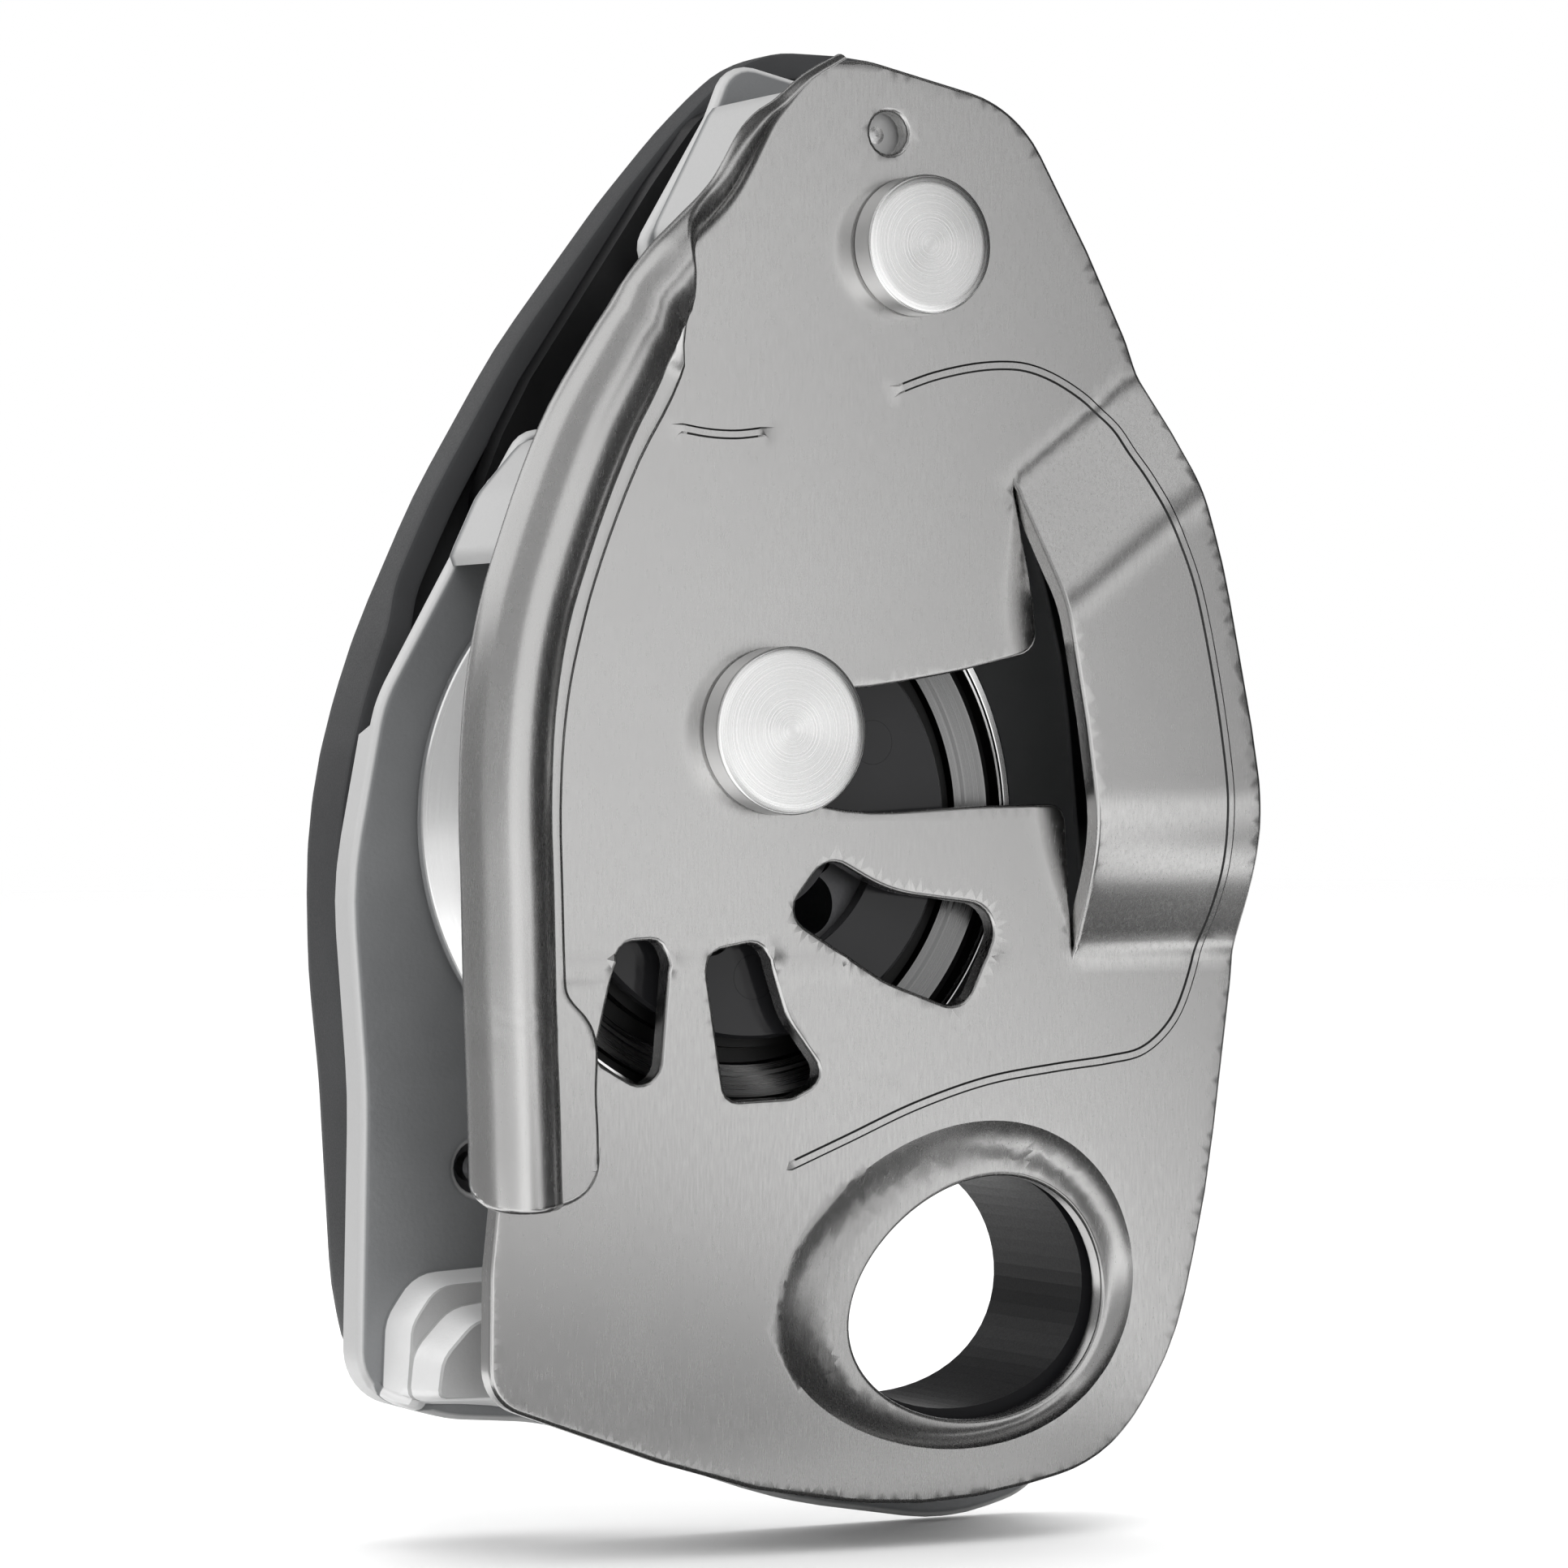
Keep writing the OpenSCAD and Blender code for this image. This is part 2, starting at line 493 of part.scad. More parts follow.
// Part of the plate that is lifted into the bridge
module lifted_area() polygon(concat(
    cut_line, [crease_bottom[1] + 9 * unit(crease_bottom[1] - crease_bottom[0])],
    [crease_top[1] + 9 * unit(crease_top[1] - crease_top[0])]
));
module moving_plate() {
    outline = rounded(plate_corners);
    color("silver") difference() {
        union() {
            slab(0, sheet_t) difference() {
                polygon(outline);
                lifted_area();
            }
            bridge();
            rope_guide();
            skin([ring_at(egg(dish_w), sheet_t - eps), ring_at(egg(dish_w - 5.2), sheet_t + dish_depth)]);
        }
        skin([ring_at(egg(dish_w), -eps), ring_at(egg(dish_w - 5.2), dish_depth)]);
        slab(-1, sheet_t + dish_depth + 1) polygon(egg(0));
        slab(-1, sheet_t + 1) {
            polygon(rounded(vent_left));
            polygon(rounded(vent_mid));
            polygon(rounded(vent_right));
        }
        slab(-1, sheet_t + 1) arc_slot(pivot, slot_r, slot_w, slot_from, slot_from + slot_sweep);
        rod(pivot, pivot_shank_d + 2 * (bush_wall + fit + run), -1, sheet_t + 1);
        rod(detent_at, 3.7, -1, sheet_t + 1);
    }
}
slot_from = atan2(-pivot_z, -pivot_x);
slot_sweep = 42;                          // far enough to open into the space under the bridge
// Plain bush pressed into the moving plate
module plate_bush() color("dimgray") difference() {
    rod(pivot, pivot_shank_d + 2 * (bush_wall + run), 0.02, sheet_t - 0.02);
    rod(pivot, pivot_shank_d + 2 * run, -1, sheet_t + 1);
}

// Cam: round journal that carries the wheel, and a cheek behind the wheel
journal_y = clear_y + 2.4;
cheek_y = back_y - 0.8;
module cam() color("dimgray") difference() {
    union() {
        rod(wheel_c, journal_d, journal_y, cheek_y + eps);
        rod(wheel_c, journal_d + 3.0, cheek_y, back_y + 0.9);
    }
    rod([0, 0], axle_d + 2 * (run + cam_bush_wall + fit), 0, rear_y);
    rod([0, 0], 2 * spring_r + spring_wire + 0.8, 0, clear_y + 12.4);
    rod(polar(drive_r, drive_at), drive_d + 2 * fit, 0, rear_y);
    for (p = cover_screw_at) rod(p, 2.2 + 2 * fit, 0, journal_y + 4);
    for (i = [0:2]) rod(polar(9.2, -128 + i * 38, wheel_c), 5.6, 0, cheek_y - 1.2);
}
cam_bush_wall = 0.9;
cover_screw_at = [for (a = [30, 150, 270]) polar(13.4, a, wheel_c)];
window_at = [-135, -45];                  // directions of the cover's two windows
module cam_bush() color("tan") difference() {
    rod([0, 0], axle_d + 2 * (run + cam_bush_wall), clear_y + 2.6, back_y + 0.8);
    rod([0, 0], axle_d + 2 * run, 0, rear_y);
}
// Glossy disc that keeps the wheel on the journal
module cam_cover() color("dimgray") difference() {
    turned(wheel_c, [
        [0, clear_y + 0.9], [cover_d / 2 - 0.3, clear_y + 0.9], [cover_d / 2, clear_y + 1.2],
        [cover_d / 2, journal_y - 0.05], [0, journal_y - 0.05]
    ]);
    rod([0, 0], axle_neck_d + 1.0, 0, rear_y);
    for (p = cover_screw_at) rod(p, 3.8 + 2 * fit, 0, clear_y + 1.7);
    for (p = cover_screw_at) rod(p, 2.2 + 2 * fit, 0, rear_y);
    for (a = window_at) slab(0, journal_y + 1) arc_slot(wheel_c, 0.273 * cover_d, 0.118 * cover_d, a - 21, a + 21);
}
module cam_cover_screws() color("silver") for (p = cover_screw_at) {
    turned(p, [
        [0, clear_y + 0.9], [1.9, clear_y + 0.9], [1.9, clear_y + 1.7], [1.1, clear_y + 1.7],
        [1.1, journal_y + 3.9], [0, journal_y + 3.9]
    ]);
}
// Pin on the cam that the lever's slot catches
module cam_drive_pin() color("silver") rod(polar(drive_r, drive_at), drive_d, back_y - 0.6, lever_end_y - 0.1);

// Grooved wheel that the rope runs on
bearing_wall = 1.2;
module wheel() {
    b = journal_d / 2 + run + bearing_wall + fit;
    f = wheel_front_d / 2;
    r = wheel_rear_d / 2;
    g = groove_d / 2;
    h = b + 0.53 * (g - b);
    y0 = clear_y + dish_depth;           // clear of the dish as the plate swings over it
    y1 = cheek_y - 0.2;
    mid = (y0 + y1) / 2;
    color("white") turned(wheel_c, concat(
        [[b, journal_y + 0.2], [h, journal_y + 0.2], [h, y0 + 1.9], [g - 0.23 * (g - b), y0 + 2.1],
         [g + 0.4, y0 + 1.5], [f - 1.6, y0 + 0.3], [f - 1.3, y0 + 0.7], [f - 0.9, y0 + 0.7],
         [f - 0.7, y0], [f - 0.2, y0], [f, y0 + 0.3], [f - 0.3, y0 + 1.4]],
        [for (i = [0:8]) let (t = i / 8) [g + 3.4 * pow(abs(2 * t - 1), 2.2), mid - 3.4 + 6.8 * t]],
        [[r - 0.3, y1 - 1.1], [r, y1 - 0.7], [r, y1], [b, y1]]
    ));
}
module wheel_bearing() color("tan") difference() {
    rod(wheel_c, journal_d + 2 * (run + bearing_wall), journal_y + 0.2, cheek_y - 0.2);
    rod(wheel_c, journal_d + 2 * run, 0, rear_y);
}

module lever_shape() difference() {
    polygon(rounded(lever_corners));
    circle(d = axle_d + 2 * (run + lever_bush_wall + fit));
    arc_slot([0, 0], drive_r, drive_d + 0.6, drive_at - lever_travel - 2, drive_at + 2);
    translate(fold) circle(d = fold_d + 2 * fit);
    for (p = lever_rivet_at) translate(p) circle(d = 3 + 2 * fit);
}
lever_bush_wall = 1.0;
lever_rivet_at = [[-11.0, 20.0], [-3.0, 34.0], [9.0, 24.0]];
module lever_plate_front() color("gray") slab(lever_y, lever_y + lever_t) lever_shape();
module lever_plate_rear() color("gray") slab(lever_y + lever_t, lever_end_y) lever_shape();
module lever_bush() color("tan") difference() {
    union() {
        rod([0, 0], axle_d + 2 * (run + lever_bush_wall), rear_y + 0.1, lever_end_y + 0.1);
        rod([0, 0], axle_d + 8, rear_y + 0.1, lever_y);
    }
    rod([0, 0], axle_d + 2 * run, 0, lever_end_y + 1);
}
module lever_rivets() color("silver") for (p = lever_rivet_at)
    rod(p, 3, lever_y - 0.2, lever_end_y + 0.5);
// Pin at the lever's top, on which the grip unfolds
module fold_pin() color("silver") turned(fold, [
    [0, lever_y - 0.3], [fold_d / 2, lever_y - 0.3], [fold_d / 2, grip_end_y - 1.2],
    [fold_d / 2 + 1.8, grip_end_y - 1.2], [fold_d / 2 + 1.8, grip_end_y - 0.2], [0, grip_end_y - 0.2]
]);
module fold_washer() color("silver") difference() {
    rod(fold, fold_d + 5, lever_end_y, lever_end_y + 0.5);
    rod(fold, fold_d + 2 * run, 0, grip_end_y + 1);
}

// Moulded grip: a tray that opens towards the lever, with a wall along the left and the top
module grip_shell() {
    outline = rounded(grip_corners);
    inner = inset(outline, grip_wall);
    color("dimgray") difference() {
        skin([
            for (p = [[0.5, 0], [0, 0.8], [0, grip_depth - 3.2], [0.5, grip_depth - 1.7],
                      [1.7, grip_depth - 0.5], [3.2, grip_depth]])
                ring_at(inset(outline, p[0]), grip_y + p[1])
        ]);
        difference() {
            slab(grip_y - 1, grip_end_y - 2.6) union() {
                polygon(inner);
                open_side();
            }
            rod(fold, 12, lever_end_y + 0.6, grip_end_y);
        }
        slab(grip_y - 1, lever_end_y + 0.3) translate([-40, 12]) square([80, 60]);
        rod(fold, fold_d + 2 * (run + grip_bush_wall + fit), 0, grip_end_y + 1);
        rod(fold, fold_d + 5, grip_end_y - 1.3, grip_end_y + 1);
    }
}
grip_bush_wall = 1.0;
// The tray's open right side, from below the fold pin to the grip's end
module open_side() polygon([
    [10, 62.0], [34, 70], [34, 30], [24, -10], [8, -50], [0, -64], [-12, -53], [-10, -40], [0, 0], [8, 40]
]);
module grip_pivot_bush() color("tan") difference() {
    rod(fold, fold_d + 2 * (run + grip_bush_wall), lever_end_y + 0.6, grip_end_y - 1.3);
    rod(fold, fold_d + 2 * run, 0, grip_end_y + 1);
}

place() fixed_plate();
place() plate_pivot_rivet();
place() plate_pivot_washer();
place() plate_detent_pin();
place() cam_axle();
place() axle_rear_head();
place() friction_plate();
place() friction_plate_rivets();
place() attachment_liner();
place() spring_anchor_pin();
place() cam_return_spring();
place() moving_plate();
place() plate_bush();
place() cam();
place() cam_bush();
place() cam_cover();
place() cam_cover_screws();
place() cam_drive_pin();
place() wheel();
place() wheel_bearing();
place() lever_plate_front();
place() lever_plate_rear();
place() lever_bush();
place() lever_rivets();
place() fold_pin();
place() fold_washer();
place() grip_shell();
place() grip_pivot_bush();
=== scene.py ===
# %% [markdown]
# # A cam-assisted belay device, dressed for the camera
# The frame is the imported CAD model, with its bodies and joints. This lesson makes fine
# meshes for the pieces that show, gives every piece a finish built from nodes, and lights
# them as on a studio table. All lengths below are in millimetres from the cam axle, because
# the device was measured from there, and one small helper turns them into Blender's metres.

# %% Load the frame
import math

import bmesh
import bpy
import numpy as np
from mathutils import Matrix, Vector
from mathutils.geometry import delaunay_2d_cdt


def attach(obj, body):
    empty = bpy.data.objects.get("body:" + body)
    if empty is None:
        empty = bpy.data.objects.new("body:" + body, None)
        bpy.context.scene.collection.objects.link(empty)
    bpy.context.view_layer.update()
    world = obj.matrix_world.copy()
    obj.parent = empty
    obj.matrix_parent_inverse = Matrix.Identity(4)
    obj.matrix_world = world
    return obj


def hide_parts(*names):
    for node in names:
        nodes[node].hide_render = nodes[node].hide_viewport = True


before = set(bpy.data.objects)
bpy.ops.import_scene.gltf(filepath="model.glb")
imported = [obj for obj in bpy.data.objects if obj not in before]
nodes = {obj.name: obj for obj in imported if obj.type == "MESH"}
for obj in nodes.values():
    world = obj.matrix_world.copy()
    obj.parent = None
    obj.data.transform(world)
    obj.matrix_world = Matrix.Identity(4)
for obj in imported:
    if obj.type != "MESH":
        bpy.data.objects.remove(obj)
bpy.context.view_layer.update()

print("CAD nodes:", len(nodes))

# %% [markdown]
# ## Two frames of measure
# The part's origin is the attachment hole, and the cam axle stands up and to the left of
# it. A point is written as x to the right, y away from the viewer and z up.

# %% Millimetres from the cam axle to metres in the part's frame
EYE_X, EYE_Z = 20.6, -49.2


def metres(points):
    """Points in millimetres from the cam axle, as an array of metres in the part's frame."""
    p = np.asarray(points, float).reshape(-1, 3)
    return (p - [EYE_X, 0.0, EYE_Z]) * 0.001


print("the cam axle is at", metres([0, 0, 0])[0].round(4), "m")

# %% [markdown]
# ## Camera
# The photograph looks level at the device from 28 degrees to its left, with a long lens
# that keeps the perspective gentle. A camera could be aimed by a constraint, but a fixed
# place and one turn about the vertical are easier to compare with the picture.

# %% Camera
VIEW_ANGLE = math.radians(28)
FOCAL_LENGTH, SENSOR_WIDTH = 138.34, 36.0
CAMERA_PLACE = (-0.2604, -0.4524, 0.0447)
lens_data = bpy.data.cameras.new("photo_camera")
lens_data.sensor_width = SENSOR_WIDTH
lens_data.lens = FOCAL_LENGTH
lens_data.clip_start, lens_data.clip_end = 0.01, 10.0
camera = bpy.data.objects.new("photo_camera", lens_data)
bpy.context.scene.collection.objects.link(camera)
camera.location = CAMERA_PLACE
camera.rotation_euler = (math.pi / 2, 0.0, -VIEW_ANGLE)
bpy.context.scene.camera = camera
print("camera at", CAMERA_PLACE, "sees", round(math.degrees(lens_data.angle), 1), "degrees")

# %% [markdown]
# ## Outlines
# Every flat piece starts as a list of corners, each with its own fillet radius, as on a
# workshop drawing. The fillets are turned into short chords here, and all the other
# outlines, such as a rounded edge or a step, are moved copies of the first one. Blender's
# own curves could draw them too, but arrays of points can be measured, moved and filled.

# %% Rounded corners
TINY = 1e-12
FILLET_STEP = 7.0       # degrees of arc for one chord
LONGEST_REACH = 0.48    # share of an edge that one fillet may use
SQUARE = np.array([[0.0, 0.0], [9.0, 0.0], [9.0, 9.0], [0.0, 9.0]])     # to try the helpers on


def unit(v):
    return v / max(np.linalg.norm(v), TINY)


def fillet(a, b, c, r):
    """Points of the arc that rounds corner b between a and c."""
    u, v = unit(a - b), unit(c - b)
    half = math.acos(float(np.clip(u @ v, -1, 1))) / 2
    reach = min(r / math.tan(half), LONGEST_REACH * np.linalg.norm(a - b),
                LONGEST_REACH * np.linalg.norm(c - b))
    radius = reach * math.tan(half)
    middle = b + unit(u + v) * radius / math.sin(half)
    p, q = b + u * reach - middle, b + v * reach - middle
    start = math.atan2(p[1], p[0])
    sweep = math.atan2(p[0] * q[1] - p[1] * q[0], p @ q)
    n = max(2, math.ceil(abs(math.degrees(sweep)) / FILLET_STEP))
    t = start + sweep * np.arange(n + 1) / n
    return middle + radius * np.stack([np.cos(t), np.sin(t)], 1)


def rounded(corners, helpers=0):
    """Corners (x, z, fillet) as one curve; the last few may be helpers that only give directions."""
    c = np.array(corners, float)
    return np.concatenate([
        fillet(c[i - 1, :2], c[i, :2], c[(i + 1) % len(c), :2], c[i, 2])
        for i in range(len(c) - helpers)])


print("a square with round corners:", len(rounded([[x, z, 2] for x, z in SQUARE])), "points")

# %% [markdown]
# ### Even steps and parallel copies
# Rounding an edge needs copies of an outline that keep their distance from it, and copies
# behave only if the points are about as far apart everywhere. A longer route, such as the
# rolled edge's, is a smooth curve through chosen places instead.

# %% Even steps, parallel outlines and smooth curves


def resampled(loop, step, closed=True):
    """The same curve with points about a step apart."""
    p = np.vstack([loop, loop[:1]]) if closed else np.asarray(loop, float)
    d = np.r_[0, np.cumsum(np.linalg.norm(np.diff(p, axis=0), axis=1))]
    n = max(8, int(round(d[-1] / step)))
    s = np.linspace(0, d[-1], n + 1)
    q = np.stack([np.interp(s, d, p[:, k]) for k in range(p.shape[1])], 1)
    return q[:-1] if closed else q


def area(loop):
    """Area of a closed loop; it is negative where the loop runs clockwise."""
    x, z = loop[:, 0], loop[:, 1]
    return 0.5 * float(np.sum(x * np.roll(z, -1) - z * np.roll(x, -1)))


def moved_in(loop, d):
    """The closed loop moved inwards by d, or outwards where d is negative."""
    side = 1 if area(loop) > 0 else -1
    ahead, behind = np.roll(loop, -1, 0) - loop, loop - np.roll(loop, 1, 0)
    ahead /= np.maximum(np.linalg.norm(ahead, axis=1, keepdims=True), 1e-9)
    behind /= np.maximum(np.linalg.norm(behind, axis=1, keepdims=True), 1e-9)
    m = ahead + behind
    m /= np.maximum(np.linalg.norm(m, axis=1, keepdims=True), 1e-9)
    normal = np.stack([-m[:, 1], m[:, 0]], 1) * side
    return loop + d * normal / np.maximum(0.5, np.sum(m * ahead, 1))[:, None]


def spline(points, k=8):
    """Smooth open curve through the points, k steps a stretch; extra columns are carried along."""
    p = np.array(points, float)
    out = []
    for i in range(len(p) - 1):
        a, b, c, d = p[max(0, i - 1)], p[i], p[i + 1], p[min(len(p) - 1, i + 2)]
        for t in np.arange(k) / k:
            out.append(0.5 * (2 * b + (c - a) * t + (2 * a - 5 * b + 4 * c - d) * t ** 2
                              + (3 * b - a - 3 * c + d) * t ** 3))
    return np.array(out + [p[-1]])


print("area of the square:", area(SQUARE), "and 1 mm further in:", round(area(moved_in(SQUARE, 1)), 3))

# %% [markdown]
# ### Where a place lies
# The heights of a pressed plate depend on where a point lies: in an outline or outside it,
# and how far from a line. Both questions are asked for thousands of points at a time, so
# they are worked out with whole arrays.

# %% Inside an outline, and distance from a line


def inside(points, loop):
    """Which of the points lie in the closed loop, by the even-odd rule."""
    x, z = points[:, 0][:, None], points[:, 1][:, None]
    a, b = loop, np.roll(loop, -1, 0)
    crosses = (a[:, 1] > z) != (b[:, 1] > z)
    dz = np.where(a[:, 1] == b[:, 1], TINY, b[:, 1] - a[:, 1])
    xs = a[:, 0] + (z - a[:, 1]) * (b[:, 0] - a[:, 0]) / dz
    return (np.sum(crosses & (x < xs), axis=1) % 2).astype(bool)


def nearest(points, line, closed=True):
    """Distance of each point from a line of short chords."""
    a = line if closed else line[:-1]
    b = np.roll(line, -1, 0) if closed else line[1:]
    best = np.full(len(points), 1e9)
    for p, q in zip(a, b):
        v = q - p
        t = np.clip(((points - p) @ v) / max(v @ v, TINY), 0, 1)
        best = np.minimum(best, np.linalg.norm(points - p - t[:, None] * v, axis=1))
    return best


def ring_faces(steps, n, base=0):
    """Faces between steps + 1 rings of n points each, which follow one another from base."""
    faces = []
    for k in range(steps):
        for j in range(n):
            a, b = base + k * n + j, base + k * n + (j + 1) % n
            faces.append((a, b, b + n, a + n))
    return faces


print("faces between two rings of 8 points:", len(ring_faces(1, 8)))


# %% [markdown]
# ## Making a piece
# A mesh becomes a piece when it has a finish, rides on a body of the frame, and hides the
# CAD node that it stands for. Faces are shaded smooth up to a chosen angle, so that a fillet
# shines as one curve and a cut edge stays crisp. Each piece could be built in its own way,
# but one helper keeps those rules the same for all of them.

# %% One helper for all new pieces
WELD, SLIVER = 2e-7, 1e-7       # metres: points closer than this are one, shorter edges go
made = []


def piece(name, points, faces, finish, body, stands_for=(), crisp=40.0, origin=None):
    """New mesh object from points in millimetres from the cam axle."""
    at = metres([origin])[0] if origin is not None else np.zeros(3)
    mesh = bpy.data.meshes.new(name)
    mesh.from_pydata((metres(points) - at).tolist(), [], [list(f) for f in faces])
    bm = bmesh.new()
    bm.from_mesh(mesh)
    bmesh.ops.remove_doubles(bm, verts=bm.verts, dist=WELD)
    bmesh.ops.dissolve_degenerate(bm, edges=bm.edges, dist=SLIVER)
    bmesh.ops.recalc_face_normals(bm, faces=bm.faces)
    bm.to_mesh(mesh)
    bm.free()
    mesh.polygons.foreach_set("use_smooth", [True] * len(mesh.polygons))
    mesh.set_sharp_from_angle(angle=math.radians(crisp))
    mesh.materials.append(finish)
    obj = bpy.data.objects.new(name, mesh)
    bpy.context.scene.collection.objects.link(obj)
    obj.location = at
    keep = obj.modifiers.new("even_shading", "WEIGHTED_NORMAL")
    keep.keep_sharp = True
    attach(obj, body)
    if stands_for:
        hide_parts(*stands_for)
    made.append(obj)
    print(f"{name}: {len(mesh.polygons)} faces")
    return obj


# %% A second finish on some faces


def second_finish(obj, finish, chosen):
    """Gives another finish to the faces whose middles, in millimetres from the axle, are chosen."""
    mesh = obj.data
    mesh.materials.append(finish)
    flat = np.zeros(3 * len(mesh.polygons))
    mesh.polygons.foreach_get("center", flat)
    mid = (flat.reshape(-1, 3) + np.array(obj.location)) * 1000 + [EYE_X, 0.0, EYE_Z]
    mark = chosen(mid[:, 0], mid[:, 1], mid[:, 2])
    index = np.zeros(len(mark), dtype=np.int32)
    mesh.polygons.foreach_get("material_index", index)
    index[mark] = len(mesh.materials) - 1
    mesh.polygons.foreach_set("material_index", index)
    print(obj.name, "faces with", finish.name, int(mark.sum()))


# %% [markdown]
# ## Pressed and cut plates
# A plate is one outline with holes. Its front is a height for each point, which gives a
# dish, a ramp or a raised line, and its edges are rounded by a few parallel outlines that
# fall away from the face. The inside is filled with small, even triangles, and so the
# heights may do what they like. Modifiers could give the thickness and the round edge,
# but heights say in one place what the press did.

# %% Triangles that belong to the plate


def flooded(flat, tris, walls, loops):
    """Triangles reached from one that surely lies in the plate, without crossing an outline."""
    corners = flat[np.array(tris)]
    a, b = corners[:, 1] - corners[:, 0], corners[:, 2] - corners[:, 0]
    size = np.abs(a[:, 0] * b[:, 1] - a[:, 1] * b[:, 0])
    mid = corners.mean(1)
    sure = inside(mid, loops[0])
    for loop in loops[1:]:
        sure &= ~inside(mid, loop)
    beside = {}
    for i, t in enumerate(tris):
        for k in range(3):
            beside.setdefault(tuple(sorted((t[k], t[(k + 1) % 3]))), []).append(i)
    todo = [int(np.argmax(np.where(sure, size, 0)))]
    reached = set(todo)
    while todo:
        i = todo.pop()
        for k in range(3):
            side = tuple(sorted((tris[i][k], tris[i][(k + 1) % 3])))
            if side in walls:
                continue
            for j in beside[side]:
                if j not in reached:
                    reached.add(j)
                    todo.append(j)
    return sorted(reached)


print("triangles on this side of a wall:", flooded(SQUARE, [(0, 1, 2), (0, 2, 3)], {(0, 2)}, [SQUARE]))

# %% Rings of a rounded edge, and the face between them
EDGE_STEPS = 5
ROW = 0.87                                  # rows of even triangles, as a share of the grid
CLEAR_OF_RING, CLEAR_OF_LINE = 0.4, 0.25    # shares of the grid
JOIN = 1e-6


def edge_rings(loop, radius, is_outline):
    """A quarter circle of parallel loops, each with its drop behind the face."""
    sign = 1 if is_outline else -1
    return [(moved_in(loop, sign * radius * (1 - math.cos(t))), radius * (1 - math.sin(t)))
            for t in np.linspace(0, math.pi / 2, EDGE_STEPS + 1)]


def filled(loops, lines, grid):
    """Flat points and triangles between the loops, with the lines kept as edges."""
    flat, edges = [], []
    for loop in loops:
        first = len(flat)
        flat += loop.tolist()
        edges += [(first + j, first + (j + 1) % len(loop)) for j in range(len(loop))]
    border = len(edges)
    for line in lines:
        first = len(flat)
        flat += line.tolist()
        edges += [(first + j, first + j + 1) for j in range(len(line) - 1)]
    low, high = loops[0].min(0), loops[0].max(0)
    gx, gz = np.meshgrid(np.arange(low[0], high[0], grid), np.arange(low[1], high[1], grid * ROW))
    gx = gx + (np.arange(gx.shape[0]) % 2)[:, None] * grid / 2
    spots = np.stack([gx.ravel(), gz.ravel()], 1)
    spots = spots[inside(spots, loops[0])]
    for loop in loops:
        spots = spots[nearest(spots, loop) > CLEAR_OF_RING * grid]
    for line in lines:
        spots = spots[nearest(spots, line, False) > CLEAR_OF_LINE * grid]
    flat += spots.tolist()
    verts, sides, tris, _, origin, _ = delaunay_2d_cdt([Vector(p) for p in flat], edges, [], 0, JOIN)
    flat = np.array([v[:] for v in verts])
    walls = {tuple(sorted(e)) for e, k in zip(sides, origin) if any(i < border for i in k)}
    return flat, [tris[i] for i in flooded(flat, tris, walls, loops)]


print("rings of a rounded edge:", EDGE_STEPS + 1)

# %% Plate from an outline and two heights
HOLE_STEP = 0.6


def skin(loops, lines, grid, height, radius, fall):
    """Points and faces of one side of a plate: the rings of its edges, then the face."""
    points, faces, innermost = [], [], []
    for i, loop in enumerate(loops):
        rings = edge_rings(loop, radius, i == 0)
        faces += ring_faces(EDGE_STEPS, len(loop), sum(len(p) for p in points))
        deep = rings[-1][0]
        for flat, drop in rings:
            # a ring takes the height of the face beside it, so that the edge stays round
            y = height(deep[:, 0], deep[:, 1]) + fall * drop
            points.append(np.stack([flat[:, 0], y, flat[:, 1]], 1))
        innermost.append(deep)
    base = sum(len(p) for p in points)
    flat, tris = filled(innermost, lines, grid)
    points.append(np.stack([flat[:, 0], height(flat[:, 0], flat[:, 1]), flat[:, 1]], 1))
    faces += [tuple(base + k for k in tri) for tri in tris]
    return np.concatenate(points), faces


def plate_mesh(outline, holes, front, back, edge, grid=1.2, lines=(), step=0.9, edge_back=None):
    """Points and faces of a plate between y = front(x, z) and y = back(x, z)."""
    loops = [resampled(outline, step)] + [resampled(h, min(step, HOLE_STEP)) for h in holes]
    loops = [loop if area(loop) > 0 else loop[::-1] for loop in loops]
    edge_back = edge if edge_back is None else edge_back
    front_points, faces = skin(loops, lines, grid, front, edge, 1)
    back_points, back_faces = skin(loops, lines, grid, back, edge_back, -1)
    behind = len(front_points)
    faces += [tuple(behind + k for k in face) for face in back_faces]
    base = 0
    for loop in loops:
        n = len(loop)
        for j in range(n):
            p, q = base + j, base + (j + 1) % n
            faces.append((p, q, behind + q, behind + p))
        base += (EDGE_STEPS + 1) * n
    return np.vstack([front_points, back_points]), faces


def level(y):
    """A height that is the same everywhere."""
    return lambda x, z: np.full(len(x), float(y))


print("a square plate:", len(plate_mesh(SQUARE, [], level(0), level(2), 0.3)[1]), "faces")

# %% [markdown]
# ## Turned pieces
# Rivet heads, the wheel and the bushes are turned on a lathe, so each one is a profile of
# radius and depth that is spun about an axis along Y. A Screw modifier could spin it, but
# points that are worked out at once let a finish be laid by radius. The object sits at the
# middle of the turning, because the finish draws its rings about that point.

# %% Lathe


def turned(profile, turns=128):
    """Points and faces of a profile of (radius, y) spun about the Y axis."""
    prof = np.array(profile, float)
    t = np.arange(turns) * 2 * math.pi / turns
    points = np.concatenate([
        np.stack([r * np.cos(t), np.full(turns, y), r * np.sin(t)], 1) for r, y in prof])
    return points, ring_faces(len(prof) - 1, turns)


def on_axis(points, centre):
    """Turned points moved so that their axis passes through a centre (x, z)."""
    return points + [centre[0], 0.0, centre[1]]


print("a turned disc:", len(turned([[0, 0], [5, 0], [5, 2], [0, 2]])[1]), "faces")

